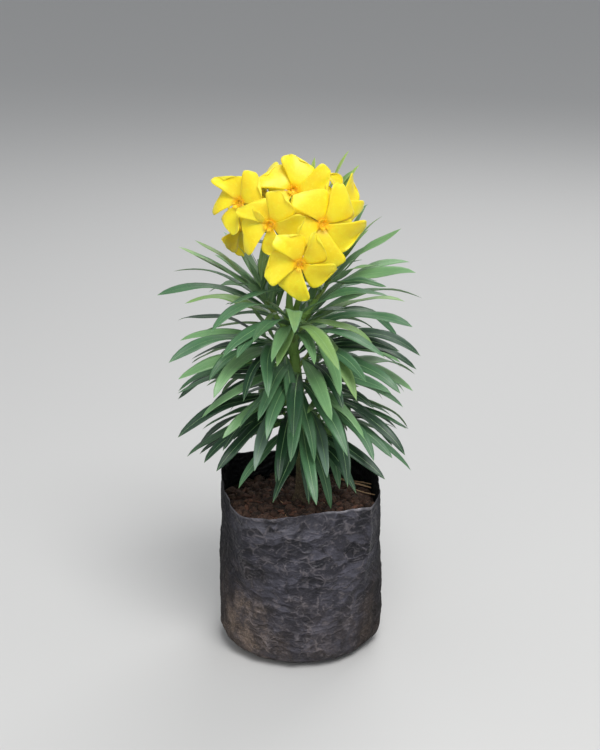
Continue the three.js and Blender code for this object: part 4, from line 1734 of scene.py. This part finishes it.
@dataclass
class NurseryBag:
    """The black film bag: a thin closed wall with corner folds, crumples, a pleated foot and a worn rim."""

    around: int = 330
    rim_flare: float = 0.8

    @staticmethod
    def beside(angle: Array, turn: float, wide: float) -> Array:
        """A soft hump from 0 to 1 round one side of the bag, in degrees."""
        off = np.degrees(np.angle(np.exp(1j * (angle - math.radians(turn)))))
        return np.exp(-((off / wide) ** 2))

    @staticmethod
    def pleats(angle: Array, height: Array) -> Array:
        """The gathers where the film turns under the foot."""
        low = 1 - smoothstep(height, 2, BAG.foot_round * 2.2)
        wave = np.sin(11 * angle + 2 * np.sin(3 * angle)) + 0.6 * np.sin(23 * angle + 1.4)
        return 0.5 * wave * low * smoothstep(height, 0.3, 5)

    def place(self, profile: Array, angle: Array) -> Array:
        """Turns a profile into rings of places.

        Args:
            profile: The radii and heights.
            angle: The angles round the bag.

        Returns:
            A ring of places for each row of the profile.
        """
        radius, height = profile[:, 0][:, None], profile[:, 1][:, None]
        angle = np.broadcast_to(angle[None, :], (len(profile), len(angle)))
        height = np.broadcast_to(height, angle.shape)
        capped = np.minimum(height, BAG.height)
        on_wall = smoothstep(radius, 20, 50) * np.minimum(1, radius)
        reach = radius + on_wall * (wall_wave(angle, capped) + corner_folds(angle, capped))
        reach = reach + on_wall * self.pleats(angle, capped)
        reach = reach + on_wall * 0.8 * soft_noise(angle * 6, capped / 13, 2.0) * smoothstep(capped, 6, 40)
        top = smoothstep(capped, SOIL.edge, BAG.height)
        reach = reach + self.rim_flare * top * soft_noise(angle * 9, capped / 30, 5.0)
        lift = (rim_wave(angle) + 0.45 * soft_noise(angle * 21, angle * 0 + 1, 8.0)) * top
        return np.stack([reach * np.cos(angle), reach * np.sin(angle), height + lift], axis=-1)

    @staticmethod
    def outline() -> tuple[Array, int]:
        """The wall's outline, up its outside and down its inside.

        Returns:
            The radii and heights, and how many of them lie on the outside.
        """
        turns = np.radians(np.linspace(0, 90, 13))
        core, bend = BAG.radius - BAG.foot_round, BAG.foot_round
        inner, inner_bend = BAG.radius - BAG.film, BAG.foot_round - BAG.film
        below_rim = BAG.height - 0.25
        outer = [(radius, 0.0) for radius in (6, 20, 34)]
        outer += [(core + bend * math.sin(t), bend * (1 - math.cos(t))) for t in turns]
        outer += [(BAG.radius, h) for h in np.linspace(bend, below_rim, 118)[1:]]
        rim = [(BAG.radius - BAG.film * share, BAG.height) for share in (0.3, 0.7)]
        down = [(inner, h) for h in np.linspace(below_rim, bend + 2, 104)]
        down += [(core + inner_bend * math.sin(t), bend - inner_bend * math.cos(t)) for t in turns[::-1]]
        down += [(radius, BAG.film) for radius in (34, 20, 6)]
        return np.array(outer + rim + down), len(outer)

    def marks(self, outline: Array, outer: int, angle: Array) -> dict[str, Array]:
        """Where the film lies inside and takes painted shade, where it is worn or dusty, where painted shade
        darkens its sides and where a painted sheen lies below the rim.

        Args:
            outline: The wall's outline.
            outer: How many places of the outline lie on the outside.
            angle: The angles round the bag.

        Returns:
            Each mark's values for every place of the bag.
        """
        rings, height = len(outline), outline[:, 1][:, None]

        def spread(grid: Array, low_end: float, high_end: float) -> Array:
            """A mark's values on every ring, and at the two places that close the ends."""
            every = np.broadcast_to(grid, (rings, len(angle)))
            return np.concatenate([every.ravel(), [low_end, high_end]])

        def beside(turn: float, wide: float) -> Array:
            """The hump round one side of the bag."""
            return self.beside(angle, turn, wide)

        worn = np.zeros((rings, 1))
        worn[outer - 2 : outer + 3, 0] = (0.55, 1.0, 1.0, 1.0, 0.8)
        chafed = 0.22 + 1.7 * beside(-53, 15) + 0.4 * beside(100, 40)
        dusty = 0.2 + 1.25 * beside(-138, 26) + 0.2 * beside(-36, 13) + 0.7 * beside(80, 50)
        # Painted shade: the sides, and low down at the front right, are darkened.
        low = np.exp(-(((height - 22) / 30) ** 2))
        side = beside(-2, 33) + beside(186, 42) + 0.75 * low * beside(-33, 13)
        # Painted sheen: a band below the front rim.
        band = np.exp(-(((height - 122) / 7.5) ** 2))
        return {
            "inside": spread(np.arange(rings)[:, None] > outer, 0.0, 1.0),
            "worn": spread(worn * chafed, 0.0, 0.0),
            "dusty": spread(dusty, 0.3, 0.3),
            "side": spread(np.minimum(side, 1.0), 0.0, 0.0),
            "faded": spread(band * beside(-108, 24), 0.0, 0.0),
        }

    def build(self) -> None:
        """Builds the bag and stands it for its solid."""
        angle = np.linspace(0, 2 * np.pi, self.around, endpoint=False)
        outline, outer = self.outline()
        sheet = Sheet()
        sheet.turned(self.place(outline, angle), **self.marks(outline, outer, angle))
        film = FilmFinish().made()
        bag = Bench.grown(sheet.object("film_bag"), Trees.crumple(), Material=film)
        Bench.hand_over(bag, "bag_film", ["nursery_bag"])


@dataclass(frozen=True)
class Straw:
    """A dry straw on the earth: its ends seen from above, its radius and how far its end is raised."""

    start: tuple[float, float]
    end: tuple[float, float]
    radius: float
    raised: float


@dataclass
class SoilBed:
    """The crumbly earth in the bag, with loose crumbs, bits of root bark and a dry straw."""

    around: int = 200
    rings: int = 64
    inset: float = BAG.film + 1.9
    foot: float = 3.0
    foot_inset: float = 14

    @staticmethod
    def from_trunk(x: Array | float, y: Array | float) -> Array:
        """How far places lie from the trunk's foot."""
        return np.hypot(x - TRUNK_FOOT[0], y - TRUNK_FOOT[1])

    def top_height(self, x: Array, y: Array) -> Array:
        """The height of the soil's top, with the solid's lumps and finer ones."""
        outward = smoothstep(np.hypot(x, y), SOIL.flat_spot + 1, 55)
        lumps = np.sin(x / 7) * np.cos(y / 6) + 0.6 * np.sin(x / 3.3 + y / 4.1)
        fine = 0.55 * soft_noise(x / 1.9, y / 1.9, 3.1) + 0.3 * soft_noise(x / 0.9, y / 0.9, 9.7)
        near = smoothstep(self.from_trunk(x, y), 8, 14)
        return SOIL.level + SOIL.mound * (1 - outward) + SOIL.lump * lumps * outward + fine * near

    def walls_and_top(self) -> tuple[list[Array], list[Array]]:
        """The rings of the earth's walls from its foot up, and those of its top from its edge in."""
        angle = np.linspace(0, 2 * np.pi, self.around, endpoint=False)
        core = BAG.radius - self.inset

        def ring(reach: Array | float, height: float) -> Array:
            """One level ring."""
            x, y = reach * np.cos(angle), reach * np.sin(angle)
            return np.stack([x, y, np.full_like(angle, height)], axis=-1)

        def bulge(height: float) -> tuple[Array, Array]:
            """How far the film's wall and its folds stand out at a height."""
            at = np.full_like(angle, height)
            return wall_wave(angle, at), 0.9 * corner_folds(angle, at)

        walls = [ring(core - self.foot_inset, self.foot)]
        for height in (40.0, 80.0, 104.0, SOIL.edge - 1):
            wave, fold = bulge(height)
            walls.append(ring(core + (wave + fold), height))
        wave, fold = bulge(SOIL.level)
        edge = core + wave + fold
        top = []
        for share in np.linspace(1, 0.02, self.rings):
            x, y = edge * share * np.cos(angle), edge * share * np.sin(angle)
            top.append(np.stack([x, y, self.top_height(x, y)], axis=-1))
        return walls, top

    def build(self) -> None:
        """Builds the earth, its crumbs and its litter."""
        walls, top = self.walls_and_top()
        sheet = Sheet()
        sheet.turned(np.array(walls + top))
        bed = sheet.object("soil_bed")
        Bench.outward(bed.data)
        Bench.hand_over(bed, "soil", ["soil"], DAMP_EARTH.made())
        self.crumbs(top)
        self.chips()
        self.litter()

    def crumbs(self, top: list[Array]) -> None:
        """Scatters crumbs over the earth's top, a little in from its edge."""
        sheet = Sheet()
        sheet.turned(np.array(top)[:-1] * np.array([0.975, 0.975, 1.0]), closed_ends=False)
        source = sheet.object("soil_crumbs")
        earth = EARTH_CRUMBS.made()
        crumbs = Bench.grown(source, Trees.crumbs(), Density=90000.0, Largest=0.0046, Material=earth)
        Bench.hand_over(crumbs, "soil", [])

    def chips(self) -> None:
        """Lays curled flakes of old bark on the earth."""
        sheet = Sheet()
        chance = Chance(SEEDS.flakes)
        u, v = shares(6, 4, -1.0)
        for _ in range(170):
            x, y = chance.spread() * 54, chance.spread() * 54
            turn = chance.one() * FULL_TURN
            long, wide = 2.4 + 3.2 * chance.one(), 1.0 + 1.5 * chance.one()
            tilt, curl = 0.5 * chance.spread(), 0.5 + 1.1 * chance.one()
            if math.hypot(x, y) > 53 or self.from_trunk(x, y) < 12:
                continue
            along = long * u
            across = wide * v * np.sqrt(np.maximum(1.05 - u**2, 0.05))
            at_x = x + along * math.cos(turn) - across * math.sin(turn)
            at_y = y + along * math.sin(turn) + across * math.cos(turn)
            ground = self.top_height(np.array([x]), np.array([y]))[0]
            lift = ground + 1.5 + tilt * along - curl * (v**2 + 0.6 * u**2)
            sheet.leaf_sheet(np.stack([at_x, at_y, lift], axis=-1), 0.7)
        piece = sheet.object("bark_flakes")
        Bench.outward(piece.data)
        Bench.hand_over(piece, "soil", [], BARK_FLAKES.made())

    def litter(self) -> None:
        """Lays the dry straws and a few bits of fallen stalk on the earth."""
        lines = Sheet()
        chance = Chance(SEEDS.straws)
        straws = [
            Straw((28, 54), (57, 16), 0.85, 5.0),
            Straw((36, 50), (58, 24), 0.6, 6.5),
            Straw((40, 30), (60, 6), 0.5, 3.0),
        ]
        for _ in range(16):
            x, y = chance.spread() * 46, chance.spread() * 46
            turn, length = chance.one() * FULL_TURN, 4 + 7 * chance.one()
            if math.hypot(x, y) < 50 and self.from_trunk(x, y) > 14:
                end = (x + length * math.cos(turn), y + length * math.sin(turn))
                straws.append(Straw((x, y), end, 0.35, 0.3))
        for straw in straws:
            share = np.linspace(0, 1, 9)
            x, y = lerp(straw.start[0], straw.end[0], share), lerp(straw.start[1], straw.end[1], share)
            bow = 0.8 * np.sin(share * 5 + straw.start[0])
            z = self.top_height(x, y).max() + straw.radius * 0.6 + straw.raised * share
            half = np.full(9, straw.radius) * (1 - 0.35 * share) * MM
            lines.line(np.stack([x + bow * 0.4, y + bow, z + 0 * x], axis=-1), half=half)
        source = lines.object("dry_straw")
        piece = Bench.grown(source, Trees.rounds(), Sides=7, Material=DRY_STRAW.made())
        Bench.hand_over(piece, "soil", [])


# The plant


@dataclass
class Limb:
    """One limb: its line, its radius by share of its length, its bark and the node that it stands for."""

    name: str
    node: str
    line: LimbLine
    radius: Callable[[float], float]
    bark: bpy.types.Material
    sides: int = 18
    ring_spacing: float = 0.012
    stations: int = 60


@dataclass
class Limbs:
    """The trunk, the boughs and the flower stalk, each a mesh with its bark's relief."""

    skeleton: Skeleton

    def build(self) -> None:
        """Builds every limb."""
        bones = self.skeleton
        old, young = TRUNK_BARK.made(), GREEN_BARK.made()
        limbs = [
            Limb("trunk_stem", "trunk", bones.trunk, bones.trunk_radius, old, 30, 0.0135, 240),
            Limb("flower_stem", "flower_stalk", bones.stalk, bones.stalk_radius, young, 20, 0.02),
        ]
        for name, line in bones.boughs.items():
            limbs.append(Limb(f"{name}_bough", f"bough_{name}", line, bones.bough_radius, young))
        tree = Trees.bark()
        for limb in limbs:
            share = np.linspace(0, 1, limb.stations)
            half = np.array([limb.radius(s) * MM for s in share])
            sheet = Sheet()
            sheet.line(np.array([limb.line.at(s) for s in share]), half=half)
            shape = {"Sides": limb.sides, "Ring spacing": limb.ring_spacing}
            piece = Bench.grown(sheet.object(limb.name), tree, **shape, Material=limb.bark)
            Bench.hand_over(piece, "bark", [limb.node])


@dataclass
class Foliage:
    """Every leaf and twig, grown by the rule."""

    growth: Growth
    stations: int = 17

    @staticmethod
    def waved(leaf: Leaf, stations: int, chance: Chance) -> tuple[Array, Array, Array, Array]:
        """A leaf's line with the slight bends and the turning face of a grown leaf.

        Args:
            leaf: The leaf.
            stations: The number of places along it.
            chance: The seeded numbers.

        Returns:
            The places, half of the width at each, the directions out of its face, and the shares.
        """
        place, side, normal, share = leaf.posture.line(stations)
        calm = np.sin(np.pi * share) ** 0.7
        phase, times = chance.one() * FULL_TURN, 1.1 + 0.9 * chance.one()
        bend, sway = 0.4 + 0.9 * chance.one(), 1.5 * chance.spread()
        twist = math.radians(22 * chance.spread()) * np.sin(2.4 * np.pi * share + phase) * calm
        rise = bend * np.sin(2 * np.pi * times * share + phase) * calm
        place = place + normal * rise[:, None] + side * (sway * calm)[:, None]
        face = normal * np.cos(twist)[:, None] + side * np.sin(twist)[:, None]
        half = leaf.posture.half_width(share) * (1 + 0.05 * np.sin(9.5 * share + 2 * phase))
        return place, np.maximum(half, 0.05), face, share

    @staticmethod
    def tint(leaf: Leaf, chance: Chance) -> Tint:
        """Deals a leaf its tone by its spray: young at the top and at the shoots' tips, deep low down.

        Args:
            leaf: The leaf.
            chance: The seeded numbers.

        Returns:
            Its tone.
        """
        luck = chance.one()
        for spray in SPRAY_TONES:
            if spray.covers(leaf):
                return spray.tint
        if leaf.level >= TIP_LEVEL:
            return Tint.YOUNG
        if leaf.shoot.tier >= TIERS.count:
            odds = CROWN_TIP_ODDS if leaf.level >= 2 else CROWN_ODDS
        elif leaf.shoot.tier == TIERS.count - 1:
            odds = TOP_ODDS
        else:
            odds = LOW_ODDS if leaf.shoot.tier <= 1 else MIDDLE_ODDS
        return next(tint for limit, tint in odds if luck < limit)

    def build(self, shoots: list[Shoot]) -> None:
        """Builds the blades, their midribs and the twigs, each kind apart.

        Args:
            shoots: Every shoot.
        """
        nodes = [shoot.name for shoot in shoots]
        blades = {tint: Sheet() for tint in Tint}
        ribs = Sheet()
        chance, bends = Chance(SEEDS.tones), Chance(SEEDS.bends)
        for leaf in self.growth.leaves:
            place, half, face, share = self.waved(leaf, self.stations, bends)
            sheet = blades[self.tint(leaf, chance)]
            sheet.line(place, half=half * MM, face=face, along=share * leaf.posture.length)
            rib = np.interp(share, [0, 0.15, 0.7, 1], [1.15, 0.66, 0.4, 0.13])
            ribs.line(place + face * (0.03 * half)[:, None], half=rib * MM, face=face)
        tree = Trees.blades()
        under = LEAF_UNDERSIDE.made()
        shape = {"Sides": 10, "Fold": 0.26, "Curl": 0.12, "Thickness": 0.05}
        for tint, sheet in blades.items():
            source, upper = sheet.object(f"leaves_{tint.name.lower()}"), tint.value.made()
            Bench.hand_over(Bench.grown(source, tree, **shape, Upper=upper, Under=under), "leaves", nodes)
        pale = LEAF_MIDRIB.made()
        shape = {"Sides": 6, "Fold": 0.0, "Curl": 0.0, "Thickness": 0.42}
        piece = Bench.grown(ribs.object("leaf_midribs"), tree, **shape, Upper=pale, Under=pale)
        Bench.hand_over(piece, "leaves", nodes)
        self.twigs(shoots, nodes)

    @staticmethod
    def twigs(shoots: list[Shoot], nodes: list[str]) -> None:
        """Builds the shoots' stems, each a little bowed and knobbly.

        Args:
            shoots: Every shoot.
            nodes: The nodes that the stems stand for.
        """
        twigs = Sheet()
        share = np.linspace(0, 1, 14)
        for shoot in shoots:
            bow = heading(shoot.azimuth, 0) * (0.8 * np.sin(np.pi * share))[:, None]
            line = lerp(shoot.foot, shoot.tip, share[:, None]) + bow
            half = lerp(SHOOT.foot, SHOOT.tip, share) * (1 + 0.09 * np.sin(share * 19))
            twigs.line(line, half=half * MM)
        source = twigs.object("leafy_twigs")
        piece = Bench.grown(source, Trees.rounds(), Sides=10, Material=GREEN_TWIG.made())
        Bench.hand_over(piece, "bark", nodes)


FLOWER_SHEETS = {"flower_petals": YELLOW_PETAL, "throat_fringes": GOLDEN_FRINGE, "sepals": SEPAL}
FLOWER_STEMS = {"flower_tubes": FLOWER_TUBE, "flower_stalks": FLOWER_STALK, "flower_buds": FURLED_BUD}


@dataclass
class FlowerHead:
    """The head of nine blossoms with their tubes, fringes, calyces and stalks, and the buds among them."""

    skeleton: Skeleton
    thickness: float = 0.4
    rows: int = 18
    columns: int = 13
    sheets: dict[str, Sheet] = field(default_factory=lambda: defaultdict(Sheet))

    def petal(self, plan: BlossomPlan, k: int, chance: Chance) -> tuple[Array, Array]:
        """The grid of one petal: narrow at the throat, broad and cut off at its end, one corner drawn out.

        Args:
            plan: The blossom.
            k: The petal's number.
            chance: The seeded numbers.

        Returns:
            The places, and how far each lies from the throat.
        """
        out, _, _ = plan.ways()
        u = np.sin(np.linspace(0, np.pi / 2, self.rows))[:, None] * np.ones((1, self.columns))
        _, v = shares(self.rows, self.columns)
        long, corner = 0.97 + 0.07 * chance.spread(), 0.09 + 0.09 * chance.spread()
        luck = chance.one()
        blunt = 2.1 + 2.4 * luck**2
        point = float(smoothstep(0.42 - luck, 0.0, 0.2))
        share = u * (1 - 0.1 * v**2 * u**2) * (1 + corner * v * u**3) * long
        widest = plan.reach * (0.455 + 0.05 * chance.spread())
        half = lerp(1.6, widest, np.sin(np.pi * 0.6 * u) ** 1.25)
        cut = np.clip((u - 0.58) / 0.42, 0, 1) ** (blunt - 0.5 * point)
        half = half * (1 - (0.93 + 0.06 * point) * cut) ** 0.5
        plan = replace(plan, turn=plan.turn + 6 * chance.spread())
        place, side = petal_line(plan, k, share.reshape(-1))
        place, side = place.reshape(*u.shape, 3), side.reshape(*u.shape, 3)
        phase, depth = chance.one() * FULL_TURN, 0.7 + 0.9 * chance.one()
        ruffle = depth * u**2 * np.sin(3.4 * v + phase) + 0.45 * u**3 * np.sin(8 * v + 2 * phase)
        cup = (1.6 + chance.spread() * 2.2) * u * v**2
        veins = 0.1 * np.cos(v * 16) * smoothstep(u, 0.1, 0.4) * (1 - smoothstep(u, 0.75, 1))
        bow = (chance.spread() * 3.4 + 0.4) * u**2 + 1.5 * v * u * np.clip(half / widest, 0, 1)
        bow = bow - 2.6 * (1 - smoothstep(u, 0.0, 0.15))
        calm = np.clip(half / (0.85 * widest), 0, 1)
        drawn = half * v + point * widest * 0.5 * np.clip((u - 0.5) / 0.5, 0, 1) ** 2
        grid = place + side * drawn[..., None] + out * ((ruffle + cup + veins) * calm + bow)[..., None]
        return grid, u

    def fringe(self, plan: BlossomPlan, k: int, chance: Chance) -> tuple[Array, Array]:
        """The fringed lobe that stands in the throat at a petal's foot.

        Args:
            plan: The blossom.
            k: The petal's number.
            chance: The seeded numbers.

        Returns:
            The places, and how far each lies from the throat.
        """
        out, right, up = plan.ways()
        u, v = shares(5, 7)
        turn = np.radians(plan.turn + BLOSSOM.petal_step * k + 29 * v)
        teeth = 0.75 + 0.45 * np.cos(v * 9.4 + chance.one())
        reach = 2.3 + 2.2 * u * teeth
        rise = 0.6 + 3.4 * u * teeth
        away = right * np.cos(turn)[..., None] + up * np.sin(turn)[..., None]
        return np.array(plan.at, float) + away * reach[..., None] + out * rise[..., None], u

    def build(self) -> None:
        """Builds the blossoms and the buds, each kind of part apart."""
        chance = Chance(SEEDS.petals)
        along = self.skeleton.stalk.along(1)
        seat = STALK_TIP + along * GAP
        head = seat + along * 10
        source = lerp(seat, head, 0.7)
        share = np.linspace(0, 1, 8)
        half = lerp(1.9, 1.4, share) * MM
        self.sheets["flower_stalks"].line(lerp(seat, head, share[:, None]), half=half)
        for plan in BLOSSOMS:
            self.blossom(plan, source, chance)
        self.buds(source)
        self.dress()

    def blossom(self, plan: BlossomPlan, source: Array, chance: Chance) -> None:
        """Adds one blossom with its throat, tube, calyx and stalk.

        Args:
            plan: The blossom.
            source: Where its stalk starts.
            chance: The seeded numbers.
        """
        out, right, up = plan.ways()
        throat = np.array(plan.at, float)
        foot = throat - out * BLOSSOM.tube
        for k in range(BLOSSOM.petals):
            grid, depth = self.petal(plan, k, chance)
            self.sheets["flower_petals"].leaf_sheet(grid, self.thickness, from_throat=depth)
            grid, depth = self.fringe(plan, k, chance)
            self.sheets["throat_fringes"].leaf_sheet(grid, 0.3, from_throat=depth)
        share = np.linspace(0, 1, 12)
        radius = lerp(BLOSSOM.tube_foot, BLOSSOM.throat, share**1.4)
        line = foot + out * (BLOSSOM.tube - 3) * share[:, None]
        self.sheets["flower_tubes"].line(line, half=radius * MM)
        self.sheets["throat_fringes"].funnel(throat, out, right, up)
        self.stem(source, foot + out * 0.8, out)
        self.calyx(foot, out, right, up)

    def stem(self, start: Array, end: Array, out: Array) -> None:
        """Adds a thin stalk that bends into the direction of what it bears."""
        bend = end - out * np.linalg.norm(end - start) * 0.4
        share = np.linspace(0, 1, 14)[:, None]
        line = start * (1 - share) ** 2 + bend * 2 * share * (1 - share) + end * share**2
        half = np.interp(share[:, 0], [0, 0.9, 1], [1.3, 1.0, 1.35]) * MM
        self.sheets["flower_stalks"].line(line, half=half)

    def calyx(self, foot: Array, out: Array, right: Array, up: Array) -> None:
        """Adds the five narrow sepals round a tube's foot.

        Args:
            foot: The tube's foot.
            out: The direction out of the throat.
            right: A direction across it.
            up: The other direction across it.
        """
        u, v = shares(7, 3)
        lean = 1.35 + 1.1 * u + 0.9 * u**2
        width = 0.95 * (1 - u**1.6) + 0.05
        for k in range(BLOSSOM.petals):
            turn = math.radians(BLOSSOM.petal_step * (k + 0.5))
            away = right * math.cos(turn) + up * math.sin(turn)
            across = up * math.cos(turn) - right * math.sin(turn)
            grid = foot + away * (lean - 0.25 * v**2)[..., None] + across * (width * v)[..., None]
            grid = grid + out * (-0.6 + 6.2 * u)[..., None]
            self.sheets["sepals"].leaf_sheet(grid, 0.35)

    def buds(self, source: Array) -> None:
        """Adds the furled buds between the blossoms.

        Args:
            source: Where their stalks start.
        """
        share = np.linspace(0, 1, 15)
        swell = np.maximum(0.3, BUDS.radius * np.sin(np.pi * (0.12 + 0.86 * share)))
        for k in range(BUDS.count):
            azimuth = 40 + 360 / BUDS.count * k
            out = heading(azimuth, 64 + 9 * (k % 2))
            foot = np.array([source[0], source[1], BUDS.height]) + heading(azimuth, 0) * BUDS.spread
            right = unit(np.array([-out[1], out[0], 0.0]))
            line = foot + out * BUDS.length * share[:, None]
            self.sheets["flower_buds"].line(line, half=swell * MM)
            self.stem(source, foot + out * BUDS.length * 0.1, out)
            self.calyx(foot + out * 0.8, out, right, np.cross(out, right))

    def dress(self) -> None:
        """Turns the parts into pieces with their finishes."""
        for name, finish in FLOWER_SHEETS.items():
            piece = self.sheets[name].object(name)
            Bench.outward(piece.data)
            Bench.hand_over(piece, "petals", ["flower_head"], finish.made())
        for name, finish in FLOWER_STEMS.items():
            source, material = self.sheets[name].object(name), finish.made()
            piece = Bench.grown(source, Trees.rounds(), Sides=12, Material=material)
            Bench.hand_over(piece, "petals", ["flower_head"])


# The studio


@dataclass
class Studio:
    """A pale floor, soft light and the camera at the photograph's angle."""

    camera_place: Triple = (0.0, -1.150, 0.599)
    pitch: float = 18.14
    lens: float = 74.54

    def build(self) -> None:
        """Sets up the floor, the lights and the camera."""
        self.floor()
        self.light("key", (0.4, -1.15, 2.1), size=1.1, power=44)
        self.light("fill", (-0.6, -1.8, 0.9), size=1.3, power=6)
        self.light("back", (0.5, 1.5, 1.7), size=1.2, power=16)
        world = bpy.data.worlds.new("soft_sky")
        world.use_nodes = True
        sky = world.node_tree.nodes["Background"]
        sky.inputs["Color"].default_value = (0.93, 0.96, 1.0, 1)
        sky.inputs["Strength"].default_value = 0.44
        bpy.context.scene.world = world
        bpy.context.scene.view_settings.view_transform = "Standard"
        camera = bpy.data.objects.new("camera", bpy.data.cameras.new("camera"))
        camera.location = self.camera_place
        camera.rotation_euler = (math.radians(90 - self.pitch), 0, 0)
        camera.data.sensor_width = 36
        camera.data.lens = self.lens
        camera.data.clip_end = 60
        bpy.context.scene.collection.objects.link(camera)
        bpy.context.scene.camera = camera

    @staticmethod
    def floor() -> None:
        """Lays the pale floor."""
        far, low = 20000, -0.4
        sheet = Sheet(faces=[(0, 1, 2, 3)])
        sheet.place(np.array([(-far, -far, low), (far, -far, low), (far, far, low), (-far, far, low)]))
        plane = sheet.object("pale_floor")
        material, shader = material_with_nodes("pale_floor")
        shader.inputs["Base Color"].default_value = (0.56, 0.555, 0.545, 1)
        shader.inputs["Roughness"].default_value = 0.9
        plane.data.materials.append(material)

    @staticmethod
    def light(name: str, place: Triple, size: float, power: float) -> None:
        """Hangs one soft square light that looks at the plant.

        Args:
            name: The light's name.
            place: Where it hangs, in metres.
            size: The length of its side, in metres.
            power: Its power in watts.
        """
        lamp = bpy.data.lights.new(name, "AREA")
        lamp.size, lamp.energy = size, power
        holder = bpy.data.objects.new(name, lamp)
        holder.location = place
        aim = np.array([0, 0, 0.2]) - np.array(place)
        level = math.hypot(aim[0], aim[1])
        holder.rotation_euler = (math.atan2(level, -aim[2]), 0, math.atan2(aim[1], aim[0]) - math.pi / 2)
        bpy.context.scene.collection.objects.link(holder)


def main() -> None:
    """Builds every sub-assembly in order."""
    logging.basicConfig(level=logging.INFO, format="%(message)s")
    Studio().build()
    skeleton = Skeleton()
    growth = Growth(skeleton)
    shoots = growth.grow()
    LOG.info("leaves of the solids: %d", len(growth.leaves))
    growth.grow_finer(shoots)
    LOG.info("leaves in all: %d", len(growth.leaves))
    NurseryBag().build()
    SoilBed().build()
    Limbs(skeleton).build()
    Foliage(growth).build(shoots)
    FlowerHead(skeleton).build()
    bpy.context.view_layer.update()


if __name__ == "__main__":
    main()
